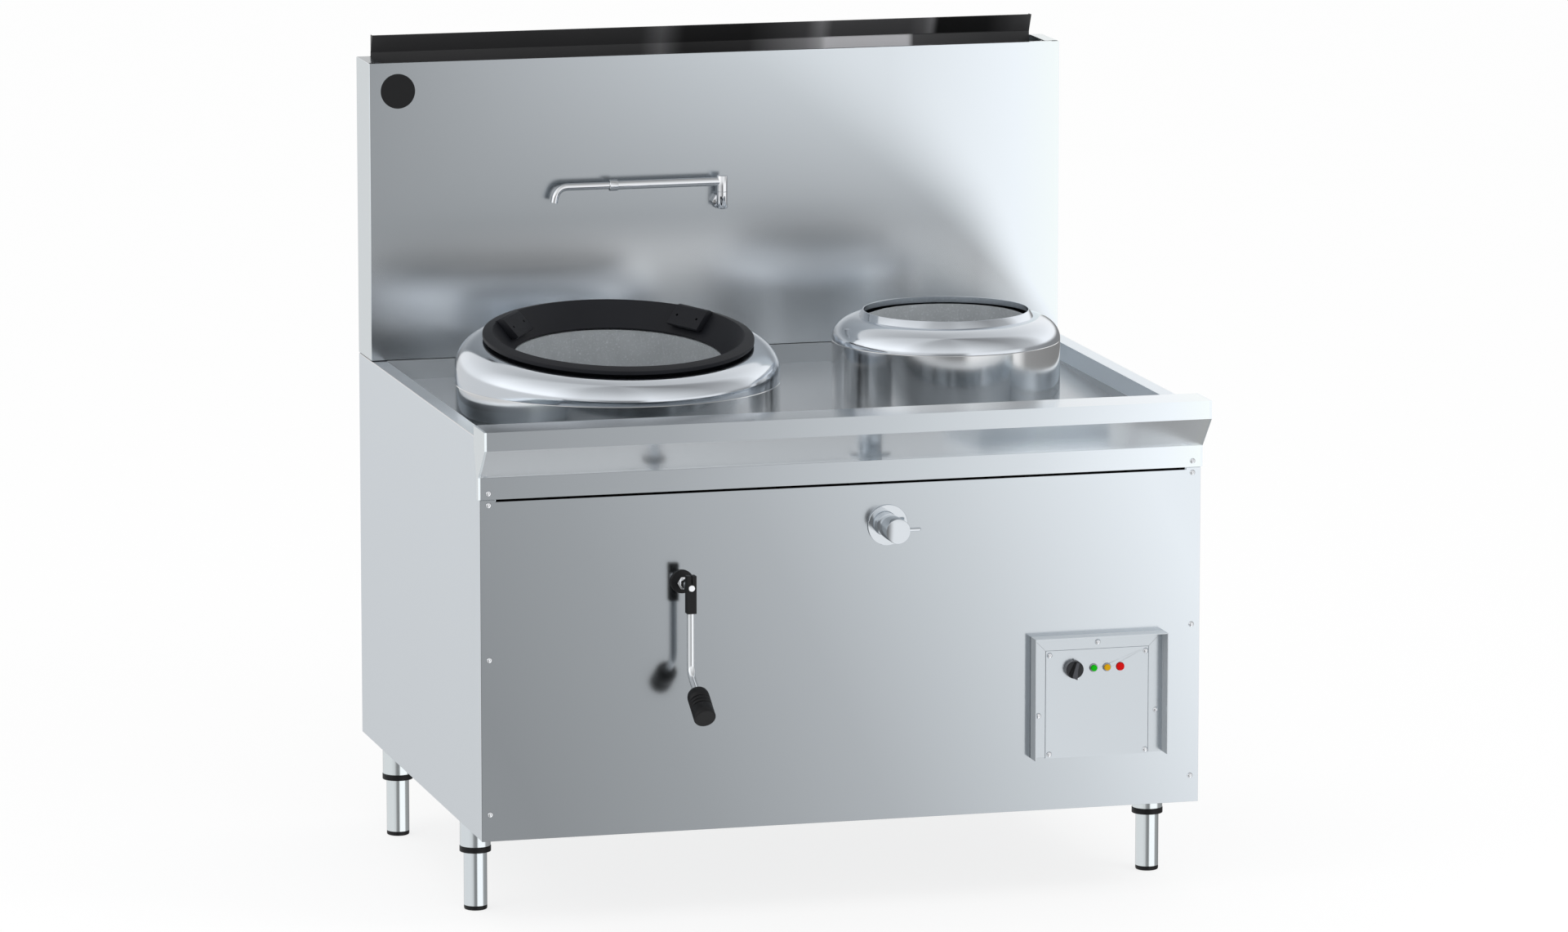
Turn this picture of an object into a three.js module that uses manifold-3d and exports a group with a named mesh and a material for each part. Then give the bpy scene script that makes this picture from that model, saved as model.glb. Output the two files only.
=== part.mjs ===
// Free-standing two-place wok range in folded stainless sheet, in millimetres, +Z up.
// +X is the cook's right, -Y is the cook's side, and the floor is Z = 0.
// The origin is the middle of the footprint; the source works from the front panel's
// face (Y = 0) and shifts everything once, at the end.
import * as THREE from 'three';
import { mergeVertices } from 'three/addons/utils/BufferGeometryUtils.js';
import Module from 'manifold-3d';

const wasm = await Module();
wasm.setup();

// ---------------------------------------------------------------- driving dimensions
const WIDTH = 1200; // over the side panels
const DEPTH = 905; // front panel face to rear face
const LEG_HEIGHT = 150; // floor to cabinet underside
const SIDE_HEIGHT = 652; // cabinet underside to the top of the side flanges
const SHEET = 1.5; // folded sheet thickness
const GAP = 0.3; // clearance between pieces that touch

const SIDE_TOP = LEG_HEIGHT + SIDE_HEIGHT;
const HALF = WIDTH / 2;

const RIM_WIDTH = 26; // flat rim along each side of the deck
const RIM_SKIRT = 31; // rim's inner fold, down to the deck tray
const FOOT_FLANGE = 62; // side panel's bottom fold, which the legs bolt to
const FRONT_RETURN = 25; // side panel's fold behind the front panel

const PANEL_BELOW_SIDE = 97; // front panel's top below the side rims
const PANEL_RETURN = 20;
const BASE_UPTURN = 18;
const AIR_SLOT = 4; // air slot between front panel and rail
const AIR_SLOT_END = 25; // where the slot stops short of each end
const SEAM = 0.6;

const RAIL_RISE = 19; // rail top above the side rims
const RAIL_FRONT = 47; // how far the rail stands out over the front panel
const RAIL_BACK = 29; // how far its top runs back over the deck
const RAIL_LIP = 30;
const RAIL_OVERHANG = 3;
const RAIL_LOWER = 35; // upright flange at the foot of the slanted face
const RAIL_END_BACK = 12; // end plates' lower part
const RAIL_DROP = 31; // rail's rear fold, down inside the tray

const SPLASH_DEPTH = 102;
const SPLASH_HEIGHT = 502; // above the side rims
const SPLASH_SIDE_LIP = 22;
const SPLASH_FRONT_LIP = 8;
const SPLASH_RELIEF = 12; // corner notches between the lips
const SPLASH_SLOT = 1.5; // shadow gap under the splashback's front
const FLUE_STRIP_HEIGHT = 36.5; // deflector top above the splashback
const FLUE_STRIP_FOLD = 6.5; // deflector fold above the splashback
const FLUE_STRIP_LEAN = 14;
const FLUE_STRIP_MARGIN = 2;
const FLUE_STRIP_DEPTH = 40; // upright leaf below the fold

const TRAY_FALL = 28; // deck floor falls this much towards the front
const TRAY_REAR_FLANGE = 8;

const WOK_SIDE_CLEAR = 53.5; // left side panel's face to the wok can
const POT_SIDE_CLEAR = 131; // right side panel's face to the pot can
const BURNER_Y = 385;
const HOUSING_WALL = 2;
const HOUSING_DROP = 122; // underside of both cans below the side rims
const SHOULDER = 45; // radial size of the rounded shoulder
const WOK_RADIUS = WIDTH * 0.2225;
const WOK_SHOULDER_RISE = 21.8; // left cylinder's end above the side rims
const WOK_TILT = 6.5; // degrees, wok ring leans towards the cook
const WOK_RING_RISE = 97.9; // centre of the wok ring's edge plane above the side rims
const POT_RADIUS = WIDTH * 0.1575;
const POT_SHOULDER_RISE = 68.5; // right cylinder's end above the side rims
const POT_SHOULDER_HEIGHT = 37.5;
const WOK_SIDES = 52; // facets round the wok place
const POT_SIDES = 40; // facets round the pot place
const LINING_GAP = 2; // between the linings and their cans
const LINING_TOP_CLEAR = 1; // left lining's top below the wok ring
const LINING_THROAT = 3; // left lining's top opening outside the ring's mouth
const LINING_NECK = 22; // right lining's thickness at its neck
const COLLAR_HEIGHT = 11;
const COLLAR_TAPER = 6;

const RING_SETBACK = 44.5; // ring's edge inside the can's
const RING_EDGE = 6.4;
const RING_STAND = 4.6; // rim's edge stands this far above the housing's lip
const RING_RIM = 16.3; // radial run of the rim, which rises inwards
const RING_CREST = 4.4; // rim's inner crest above its edge
const RING_LEDGE = 17.8; // housing's lip under the rim
const RING_CONE = 36.4; // radial run of the ring's cone
const RING_DROP = 34.8; // mouth below the rim's edge
const RING_LIP = 3; // thickness of the cone's lower edge
const LUG_ANGLES = [36.7, 143.3];
const LUG_WIDTH = 64;
const LUG_FACE = 37.5; // length of the sloping face that the pan rests on
const LUG_SLOPE = 43.5;
const LUG_INSIDE = 6.2; // face's foot inside the ring's mouth
const LUG_FOOT = 17.2; // face's foot below the rim's edge
const LUG_NOSE = 6;
const LUG_FLAT = 8; // level top behind the face
const LUG_HOLE = 2.2;
const LUG_HOLE_DEPTH = 8;

const JET_RADIUS = 7;
const JET_HEIGHT = 26;
const JET_CIRCLES = [[0, 1], [27, 6], [52, 12]]; // radius and count of each ring of jets
const HEAD_RADIUS = 68;
const HEAD_HEIGHT = 26;
const THROAT_RADIUS = 24;
const HEAD_RISE = 48; // head's top above the housing's floor
const THROAT_DROP = 22; // throat below the housing's floor
const AIR_GAP = 14; // air passage round the head

const LEG_INSET = 30; // leg axis in from the side panel's face
const LEG_FRONT_Y = 180;
const LEG_REAR_INSET = 143;
const SLEEVE_RADIUS = 25;
const SLEEVE_HEIGHT = 44;
const SLEEVE_RING = 9.5; // black guide ring at the sleeve's mouth
const INSERT_RADIUS = 19;
const FOOT_HEIGHT = 7;
const SLEEVE_CAP = 3;

const LEVER_INSET = 330.5; // lever shaft from the left side
const LEVER_DROP = 147; // below the front panel's top
const LEVER_DISC_RADIUS = 19;
const LEVER_SHAFT_RADIUS = 5.2;
const LEVER_DISC = 4;
const LEVER_NUT = 12;
const LEVER_NUT_RADIUS = 11;
const CLAMP_WIDTH = 15.4;
const CLAMP_DEPTH = 15;
const CLAMP_ABOVE = 20; // clamp top above the shaft
const CLAMP_BELOW = 41.5;
const CLAMP_FACE_Y = -65;
const CLAMP_SLIT = 1.5;
const ROD_RADIUS = 6.3;
const ROD_DROP = 139; // shaft to the bend
const ROD_BEND = 15;
const ROD_REACH = 44; // bend to the grip
const GRIP_RADIUS = 18;
const GRIP_LENGTH = 62;
const GRIP_BORE = 32;
const GRIP_GROOVE_PITCH = 7;
const GRIP_SLOPE = 58; // degrees from upright, towards the cook

const TAP_X = 72;
const TAP_DROP = 71; // below the front panel's top
const TAP_PLATE_RADIUS = 33;
const TAP_PLATE = 3;
const TAP_KNOB_RADIUS = 20;
const TAP_KNOB_LENGTH = 44;
const TAP_NECK_RADIUS = 17;
const TAP_STANDOFF = 65; // panel to the knob's front
const TAP_PIN_RADIUS = 3;
const TAP_PIN_REACH = 41;
const TAP_PIN_Y = 52;
const TAP_STEM_RADIUS = 6;

const SPOUT_Y_OFF = 28; // spout axis in front of the splashback
const SPOUT_COLUMN_RADIUS = 9.5;
const SPOUT_COLUMN_HEIGHT = 56.5;
const SPOUT_DROP = 205; // column's top below the splashback's
const SPOUT_SWIVEL = 27; // upper, turning part of the column
const SPOUT_ARM_DROP = 10; // arm axis below the column's top
const SPOUT_ARM_RADIUS = 7.3;
const SPOUT_ARM_LENGTH = 196;
const SPOUT_COLLAR_RADIUS = 9.2;
const SPOUT_COLLAR_LENGTH = 14;
const SPOUT_TIP_RADIUS = 6;
const SPOUT_TIP_REACH = 290; // column axis to the outlet
const SPOUT_BEND = 26;
const SPOUT_STUB_RADIUS = 6.5;
const SPOUT_STUB_TAIL = 20;
const SPOUT_STUB_RISE = 10; // wall inlet above the column's foot
const SPOUT_NUT = 12;
const SPOUT_NUT_RADIUS = 13;
const SPOUT_OVERLAP = 120; // how far the tip runs inside the arm
const SPOUT_PUSH_IN = 60; // how far the tip pushes in from where it is drawn

const GUARD_INSET = 174.3; // guard's middle from the right side
const GUARD_WIDTH = 225;
const GUARD_RISE = 87.5; // above the cabinet's underside
const GUARD_HEIGHT = 201;
const GUARD_DEPTH = 30;
const GUARD_FLANGE = 25;
const CONTROL_ROW_RISE = 144.5; // selector, lamps and button above the guard's foot
const SELECTOR_OFF = 40.7; // left of the guard's middle
const GREEN_OFF = 6.2;
const LAMP_PITCH = 22.7;
const LAMP_RADIUS = 7;
const BUTTON_RADIUS = 6.5;
const SELECTOR_RADIUS = 15;
const SELECTOR_REACH = 18; // plate to the knob's face
const SELECTOR_SKIRT = 6;
const SELECTOR_STEM = 3;
const SELECTOR_TURN = 6; // degrees the pointer rests off the vertical
const BEZEL_RADIUS = 19;
const BEZEL_THICK = 1.2;
const LAMP_LENS = 5.2;
const LAMP_REACH = 6;
const LAMP_STEM = 4;
const LAMP_TAIL = 24;
const BUTTON_REACH = 3.5;
const BUTTON_TAIL = 16;
const PLATE_LAND = 6; // plate's overlap on the panel round its opening
const BOX_DEPTH = 90;

const BADGE_INSET = 48.7; // from the left side
const BADGE_BELOW_TOP = 47.5;
const BADGE_RADIUS = 29;
const BADGE_THICK = 2;

const GAS_PIPE_RADIUS = 9;
const WATER_PIPE_RADIUS = 7.5;
const PIPE_BEND = 30;
const GAS_INLET_INSET = 120; // from the left side
const WATER_INLET_X = 180;
const INLET_INSET = 85; // from the rear face
const INLET_DROP = 25; // pipe ends below the cabinet
const PIPE_LOW_RISE = 110; // low runs above the cabinet's underside
const FEED_BEND_Y = 120; // feed pipe turns this far before the burner
const RISER_BACK = 55; // riser behind the splashback's face
const VALVE_SIZE = 50;
const VALVE_FRONT_Y = 10;
const LEVER_SHAFT_SEAT = 24; // how far the shaft runs in behind the panel's face
const TAP_STEM_SEAT = 14;
const TAP_BODY_DEPTH = 56;
const TAP_BODY_RADIUS = 14;
const TAP_BODY_HALF = 34;

const DUCT_WIDTH = 120;
const DUCT_HEIGHT = 46;
const DUCT_ENTRY = 6; // how far a duct runs into a housing at its middle
const RISER_WIDTH = 200;
const FLUE_BACK_CLEAR = 6;
const FLUE_TOP_DROP = 12;

// ---------------------------------------------------------------- places that follow
const PANEL_TOP = SIDE_TOP - PANEL_BELOW_SIDE;
const RAIL_TOP = SIDE_TOP + RAIL_RISE;
const SPLASH_Y = DEPTH - SPLASH_DEPTH;
const SPLASH_TOP = SIDE_TOP + SPLASH_HEIGHT;
const RIM_X = HALF - RIM_WIDTH; // face of the rim's inner fold
const SEAM_Z = SIDE_TOP - RIM_SKIRT;
const TRAY_X = RIM_X + SHEET + GAP; // inner face of the tray's side walls
const TRAY_REAR_Z = SEAM_Z - 2;
const TRAY_FRONT_Z = TRAY_REAR_Z - TRAY_FALL;
const TRAY_FRONT_Y = RAIL_BACK - SHEET - GAP; // inner face of the tray's front wall
const WOK_X = WOK_SIDE_CLEAR + WOK_RADIUS - HALF;
const POT_X = HALF - POT_SIDE_CLEAR - POT_RADIUS;
const RING_RADIUS = WOK_RADIUS - RING_SETBACK;
const RING_MOUTH = RING_RADIUS - RING_RIM - RING_CONE;
const TILT = THREE.MathUtils.degToRad(WOK_TILT);
const HOUSING_BOTTOM = SIDE_TOP - HOUSING_DROP;
const WOK_SHOULDER_Z = SIDE_TOP + WOK_SHOULDER_RISE;
const WOK_RING_Z = SIDE_TOP + WOK_RING_RISE;
const POT_SHOULDER_Z = SIDE_TOP + POT_SHOULDER_RISE;
const WOK_RING_Y = BURNER_Y - (WOK_RING_Z - WOK_SHOULDER_Z) * Math.tan(TILT);
const POT_COLLAR_BASE = POT_SHOULDER_Z + POT_SHOULDER_HEIGHT;
const POT_TOP = POT_COLLAR_BASE + COLLAR_HEIGHT;
const SPOUT_Y = SPLASH_Y - SPOUT_Y_OFF;
const SPOUT_COLUMN_TOP = SPLASH_TOP - SPOUT_DROP;
const SPOUT_SWIVEL_Z = SPOUT_COLUMN_TOP - SPOUT_SWIVEL;
const SPOUT_ARM_Z = SPOUT_COLUMN_TOP - SPOUT_ARM_DROP;
const SPOUT_INLET_Z = SPOUT_COLUMN_TOP - SPOUT_COLUMN_HEIGHT + SPOUT_STUB_RISE;
const SPOUT_TIP_START = SPOUT_ARM_LENGTH - SPOUT_OVERLAP;
const HEAD_TOP_Z = HOUSING_BOTTOM + HEAD_RISE;
const JET_TOP_Z = HEAD_TOP_Z + JET_HEIGHT;
const THROAT_Z = HOUSING_BOTTOM - THROAT_DROP;
const DUCT_Z = HOUSING_BOTTOM + HOUSING_WALL + 8;
const FLUE_FRONT = SPLASH_Y + TRAY_REAR_FLANGE + 4;
const LEG_X = HALF - LEG_INSET;
const LEG_BACK_Y = DEPTH - LEG_REAR_INSET;
const LEVER_X = LEVER_INSET - HALF;
const LEVER_Z = PANEL_TOP - LEVER_DROP;
const TAP_Z = PANEL_TOP - TAP_DROP;
const GAS_INLET_X = GAS_INLET_INSET - HALF;
const INLET_Y = DEPTH - INLET_INSET;
const PIPE_LOW_Z = LEG_HEIGHT + PIPE_LOW_RISE;
const ROD_Y = CLAMP_FACE_Y + CLAMP_DEPTH / 2;
const ROD_TOP = -LEVER_SHAFT_RADIUS - 3;
const VALVE_MID_Y = VALVE_FRONT_Y + VALVE_SIZE / 2;
const BADGE_X = BADGE_INSET - HALF;
const BADGE_Z = SPLASH_TOP - BADGE_BELOW_TOP;
const GUARD_X = HALF - GUARD_INSET;
const GUARD_BOTTOM = LEG_HEIGHT + GUARD_RISE;
const CONTROL_ROW_Z = GUARD_BOTTOM + CONTROL_ROW_RISE;
const SELECTOR_X = GUARD_X - SELECTOR_OFF;
const GREEN_X = GUARD_X - GREEN_OFF;
const PLATE_WIDTH = GUARD_WIDTH - 2 * GUARD_FLANGE - 2 * GAP;
const PLATE_TOP = GUARD_BOTTOM + GUARD_HEIGHT - GUARD_FLANGE - GAP;
const PLATE_BOTTOM = GUARD_BOTTOM - 2;
const PLATE_BACK_Y = -GAP;
const PLATE_FACE_Y = PLATE_BACK_Y - SHEET;

// ---------------------------------------------------------------- finishes
const finish = (color, roughness, metalness) =>
  new THREE.MeshStandardMaterial({ color, roughness, metalness });
const steel = finish(0xaeb3b8, 0.35, 1);
const polished = finish(0xc9ced4, 0.08, 1);
const darkSteel = finish(0x242527, 0.2, 0.6);
const castIron = finish(0x26272a, 0.75, 0.3);
const blackPlastic = finish(0x1f2022, 0.45, 0);
const refractory = finish(0x696b6c, 0.95, 0);
const brass = finish(0xb08d4a, 0.35, 1);
const copper = finish(0xb4714a, 0.35, 1);
const greyPlastic = finish(0x7d8084, 0.5, 0);
const green = finish(0x00b900, 0.3, 0);
const amber = finish(0xd7a000, 0.3, 0);
const red = finish(0xd00000, 0.3, 0);

// ---------------------------------------------------------------- solids and booleans
function solid(geometry) {
  const bare = geometry.index ? geometry.toNonIndexed() : geometry.clone();
  bare.deleteAttribute('normal');
  bare.deleteAttribute('uv');
  const merged = mergeVertices(bare, 1e-4);
  return new wasm.Manifold(new wasm.Mesh({
    numProp: 3,
    vertProperties: new Float32Array(merged.attributes.position.array),
    triVerts: new Uint32Array(merged.index.array),
  }));
}

function geometryOf(manifold) {
  const mesh = manifold.getMesh();
  const geometry = new THREE.BufferGeometry();
  geometry.setAttribute('position', new THREE.BufferAttribute(mesh.vertProperties.slice(), 3));
  geometry.setIndex(new THREE.BufferAttribute(mesh.triVerts.slice(), 1));
  geometry.computeVertexNormals();
  return geometry;
}

const join = (...solids) => solids.reduce((all, next) => all.add(next));
const cut = (body, ...tools) => tools.reduce((left, tool) => left.subtract(tool), body);

function block(x0, x1, y0, y1, z0, z1) {
  const geometry = new THREE.BoxGeometry(x1 - x0, y1 - y0, z1 - z0);
  geometry.translate((x0 + x1) / 2, (y0 + y1) / 2, (z0 + z1) / 2);
  return solid(geometry);
}

// Closed profiles of [radius, height] revolved about +Z.
function revolve(profile, sides) {
  const points = [...profile, profile[0]].map(([r, z]) => new THREE.Vector2(r, z));
  const geometry = new THREE.LatheGeometry(points, sides);
  geometry.rotateX(Math.PI / 2);
  return solid(geometry);
}

// Cylinder about +Z.
const drum = (radius, z0, z1, sides = 24) =>
  revolve([[0, z0], [radius, z0], [radius, z1], [0, z1]], sides);

const BASIS = {
  x: new THREE.Matrix4().makeBasis(axis(0, 1, 0), axis(0, 0, 1), axis(1, 0, 0)),
  y: new THREE.Matrix4().makeBasis(axis(1, 0, 0), axis(0, 0, 1), axis(0, -1, 0)),
  z: new THREE.Matrix4(),
};

function axis(x, y, z) {
  return new THREE.Vector3(x, y, z);
}

// Outline extruded along an axis between two places: [y, z] for x, [x, z] for y, [x, y] for z.
function prism(outline, along, from, to) {
  const shape = new THREE.Shape(outline.map(([u, v]) => new THREE.Vector2(u, v)));
  const geometry = new THREE.ExtrudeGeometry(shape, { depth: to - from, bevelEnabled: false });
  geometry.applyMatrix4(BASIS[along]);
  const start = along === 'y' ? to : from;
  geometry.translate(along === 'x' ? start : 0, along === 'y' ? start : 0, along === 'z' ? start : 0);
  return solid(geometry);
}

// Outline of a folded sheet: the path is its outer face, and the metal lies to its right.
function folded(path, thickness = SHEET) {
  const points = path.map(([u, v]) => new THREE.Vector2(u, v));
  const offset = points.map((point, i) => {
    const normals = [];
    if (i > 0) normals.push(rightOf(points[i - 1], point));
    if (i < points.length - 1) normals.push(rightOf(point, points[i + 1]));
    const sum = normals.reduce((a, n) => a.add(n), new THREE.Vector2()).normalize();
    return point.clone().addScaledVector(sum, thickness / sum.dot(normals[0]));
  });
  return [...points, ...offset.reverse()].map((p) => [p.x, p.y]);
}

function rightOf(a, b) {
  const d = b.clone().sub(a).normalize();
  return new THREE.Vector2(d.y, -d.x);
}

// Closed loft through circles {x, y, z, r, tilt}, the last joined to the first.
function loft(circles, sides) {
  const vertices = [];
  for (const { x = 0, y = 0, z, r, tilt = 0 } of circles) {
    for (let k = 0; k < sides; k += 1) {
      const a = (2 * Math.PI * k) / sides;
      vertices.push(
        x + r * Math.cos(a),
        y + r * Math.sin(a) * Math.cos(tilt),
        z + r * Math.sin(a) * Math.sin(tilt),
      );
    }
  }
  const faces = [];
  circles.forEach((_, i) => {
    const j = (i + 1) % circles.length;
    for (let k = 0; k < sides; k += 1) {
      const n = (k + 1) % sides;
      const [a, b, c, d] = [i * sides + k, i * sides + n, j * sides + n, j * sides + k];
      faces.push(a, b, c, a, c, d);
    }
  });
  const geometry = new THREE.BufferGeometry();
  geometry.setAttribute('position', new THREE.Float32BufferAttribute(vertices, 3));
  geometry.setIndex(faces);
  return solid(geometry);
}

// Path of straight runs and rounded corners, with its stations only where it turns.
class Route extends THREE.Curve {
  constructor(points, bend, cornerSteps) {
    super();
    const corners = points.map(([x, y, z]) => axis(x, y, z));
    this.pieces = [];
    let from = corners[0];
    for (let i = 1; i < corners.length - 1; i += 1) {
      const entry = towards(corners[i], corners[i - 1], bend);
      const exit = towards(corners[i], corners[i + 1], bend);
      this.pieces.push([new THREE.LineCurve3(from, entry), 1]);
      this.pieces.push([new THREE.QuadraticBezierCurve3(entry, corners[i], exit), cornerSteps]);
      from = exit;
    }
    this.pieces.push([new THREE.LineCurve3(from, corners[corners.length - 1]), 1]);
    this.stations = this.pieces.reduce((sum, [, steps]) => sum + steps, 0);
  }

  getUtoTmapping(u) {
    return u;
  }

  getPoint(t) {
    let place = t * this.stations;
    for (const [curve, steps] of this.pieces) {
      if (place <= steps) return curve.getPoint(Math.max(0, place / steps));
      place -= steps;
    }
    return this.pieces[this.pieces.length - 1][0].getPoint(1);
  }
}

// Round bar or pipe along straight runs with rounded corners.
function pipe(points, radius, bend, sides = 10, cornerSteps = 3) {
  const path = new Route(points, bend, cornerSteps);
  const section = new THREE.Shape();
  section.absarc(0, 0, radius, 0, 2 * Math.PI);
  return solid(new THREE.ExtrudeGeometry(section, {
    steps: path.stations, curveSegments: sides / 2, extrudePath: path, bevelEnabled: false,
  }));
}

function towards(from, to, distance) {
  return from.clone().add(to.clone().sub(from).setLength(distance));
}

// A solid moved or turned before it joins or cuts another.
function placed(body, matrix) {
  const { vertProperties, triVerts } = body.getMesh();
  const points = new THREE.BufferAttribute(vertProperties.slice(), 3).applyMatrix4(matrix);
  return new wasm.Manifold(new wasm.Mesh({
    numProp: 3, vertProperties: points.array, triVerts: triVerts.slice(),
  }));
}

const shift = (x, y, z) => new THREE.Matrix4().makeTranslation(x, y, z);
const turnX = (degrees) => new THREE.Matrix4().makeRotationX(THREE.MathUtils.degToRad(degrees));
const turnY = (degrees) => new THREE.Matrix4().makeRotationY(THREE.MathUtils.degToRad(degrees));
const turnZ = (degrees) => new THREE.Matrix4().makeRotationZ(THREE.MathUtils.degToRad(degrees));
const toFront = turnX(90); // a drawing's +Z turned to -Y, towards the cook

// Cylinder about a line parallel to Y, from y0 back to y1.
function rod(radius, x, z, y0, y1, sides = 24) {
  return placed(drum(radius, -y1, -y0, sides), shift(x, 0, z).multiply(toFront));
}

// ---------------------------------------------------------------- assembly
const parts = new THREE.Group();

function add(name, body, material, parent = parts) {
  const mesh = new THREE.Mesh(geometryOf(body), material);
  mesh.name = name;
  parent.add(mesh);
  return mesh;
}

function group(x, y, z, parent = parts) {
  const holder = new THREE.Group();
  holder.position.set(x, y, z);
  parent.add(holder);
  return holder;
}

// ---------------------------------------------------------------- cabinet sheets
// One fold runs from the foot flange up the skin, over the rim and down to the tray.
function sidePanel() {
  const front = SHEET + GAP;
  const back = DEPTH - SHEET - GAP;
  const skin = prism(folded([
    [-HALF + FOOT_FLANGE, LEG_HEIGHT],
    [-HALF, LEG_HEIGHT],
    [-HALF, SIDE_TOP],
    [-RIM_X, SIDE_TOP],
    [-RIM_X, SEAM_Z],
  ]), 'y', front, back);
  const inner = -HALF + SHEET - 0.01;
  const foldFront = block(inner, inner + FRONT_RETURN, front, front + SHEET, LEG_HEIGHT + 1, PANEL_TOP);
  const foldBack = block(inner, inner + FRONT_RETURN, back - SHEET, back, LEG_HEIGHT + 1, SEAM_Z - 40);
  return join(skin, foldFront, foldBack);
}

const mirrored = (body) => {
  const { vertProperties, triVerts } = body.getMesh();
  const flipped = triVerts.slice();
  for (let i = 0; i < flipped.length; i += 3) flipped.subarray(i, i + 3).reverse();
  const points = vertProperties.slice();
  for (let i = 0; i < points.length; i += 3) points[i] = -points[i];
  return new wasm.Manifold(new wasm.Mesh({ numProp: 3, vertProperties: points, triVerts: flipped }));
};

function frontPanel() {
  const top = PANEL_TOP - SEAM;
  const returnX = HALF - FOOT_FLANGE - GAP;
  const sheet = block(-HALF, HALF, 0, SHEET, LEG_HEIGHT, top);
  const lower = block(-returnX, returnX, 0, PANEL_RETURN, LEG_HEIGHT, LEG_HEIGHT + SHEET);
  const slotX = HALF - AIR_SLOT_END;
  return cut(
    join(sheet, lower),
    block(-slotX, slotX, -1, SHEET + 1, PANEL_TOP - AIR_SLOT, top + 1),
    rod(LEVER_SHAFT_RADIUS + 2 * GAP, LEVER_X, LEVER_Z, -1, SHEET + 1, 16),
    rod(TAP_STEM_RADIUS + 2 * GAP, TAP_X, TAP_Z, -1, SHEET + 1, 16),
    block(
      GUARD_X - PLATE_WIDTH / 2 + PLATE_LAND, GUARD_X + PLATE_WIDTH / 2 - PLATE_LAND, -1, SHEET + 1,
      PLATE_BOTTOM + PLATE_LAND, PLATE_TOP - PLATE_LAND,
    ),
  );
}

function rearPanel() {
  const x = HALF - SHEET - GAP;
  return block(-x, x, DEPTH - SHEET, DEPTH, LEG_HEIGHT, SIDE_TOP - GAP);
}

function basePan() {
  const x = HALF - SHEET - GAP;
  const z = LEG_HEIGHT + SHEET + GAP;
  const front = 2 * (SHEET + GAP);
  const back = DEPTH - 2 * (SHEET + GAP);
  const path = [[back, z + BASE_UPTURN], [back, z], [front, z], [front, z + BASE_UPTURN]];
  return cut(
    prism(folded(path), 'x', -x + FRONT_RETURN, x - FRONT_RETURN),
    drumAt(GAS_PIPE_RADIUS + GAP, GAS_INLET_X, INLET_Y, z - 1, z + SHEET + 1),
    drumAt(WATER_PIPE_RADIUS + GAP, WATER_INLET_X, INLET_Y, z - 1, z + SHEET + 1),
  );
}

function drumAt(radius, x, y, z0, z1, sides = 24) {
  return placed(drum(radius, z0, z1, sides), shift(x, y, 0));
}

// Hollow rail: lip and slanted face in front, end plates outside the side panels.
function frontRail() {
  const x = HALF + RAIL_OVERHANG;
  const slantBottom = PANEL_TOP + RAIL_LOWER;
  const face = [
    [0, PANEL_TOP],
    [0, slantBottom],
    [-RAIL_FRONT, RAIL_TOP - RAIL_LIP],
    [-RAIL_FRONT, RAIL_TOP],
    [RAIL_BACK, RAIL_TOP],
    [RAIL_BACK, SIDE_TOP + GAP],
  ];
  const sheet = prism(folded(face), 'x', -x, x);
  const dropX = RIM_X - GAP;
  const drop = block(
    -dropX, dropX, RAIL_BACK - SHEET, RAIL_BACK, RAIL_TOP - RAIL_DROP, SIDE_TOP + RAIL_RISE / 2,
  );
  const ends = [-x, x - SHEET].map((x0) => prism([
    [0, PANEL_TOP], [0, slantBottom], [-RAIL_FRONT, RAIL_TOP - RAIL_LIP], [-RAIL_FRONT, RAIL_TOP],
    [RAIL_BACK, RAIL_TOP], [RAIL_BACK, RAIL_TOP - RAIL_DROP], [RAIL_END_BACK, slantBottom],
    [RAIL_END_BACK, PANEL_TOP],
  ], 'x', x0, x0 + SHEET));
  return join(sheet, drop, ...ends);
}

// Drip tray under the burners, falling to the front, with an upstand behind.
function deckTray() {
  const wall = TRAY_X + SHEET;
  const front = TRAY_FRONT_Y;
  const back = SPLASH_Y + SHEET;
  const sideTop = SIDE_TOP - SHEET - GAP;
  const outside = [
    [front - SHEET, sideTop], [front - SHEET, TRAY_FRONT_Z - SHEET], [back, TRAY_REAR_Z - SHEET],
    [back, sideTop],
  ];
  const inside = [
    [front, sideTop + 1], [front, TRAY_FRONT_Z], [SPLASH_Y, TRAY_REAR_Z], [SPLASH_Y, sideTop + 1],
  ];
  const pan = cut(prism(outside, 'x', -wall, wall), prism(inside, 'x', -TRAY_X, TRAY_X));
  const lipX = RIM_X - GAP;
  const upstand = block(-lipX, lipX, SPLASH_Y, back, sideTop - 5, SIDE_TOP);
  const lip = block(
    -lipX, lipX, SPLASH_Y, SPLASH_Y + TRAY_REAR_FLANGE, SIDE_TOP - SHEET, SIDE_TOP,
  );
  const skirts = [-1, 1].map((side) => block(
    Math.min(side * lipX, side * TRAY_X), Math.max(side * lipX, side * TRAY_X),
    0, DEPTH, SEAM_Z - GAP, SIDE_TOP + 1,
  ));
  return cut(
    join(pan, upstand, lip),
    ...skirts,
    drumAt(WOK_RADIUS + GAP, WOK_X, BURNER_Y, TRAY_FRONT_Z - 30, SIDE_TOP, WOK_SIDES),
    drumAt(POT_RADIUS + GAP, POT_X, BURNER_Y, TRAY_FRONT_Z - 30, SIDE_TOP, POT_SIDES),
  );
}

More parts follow.
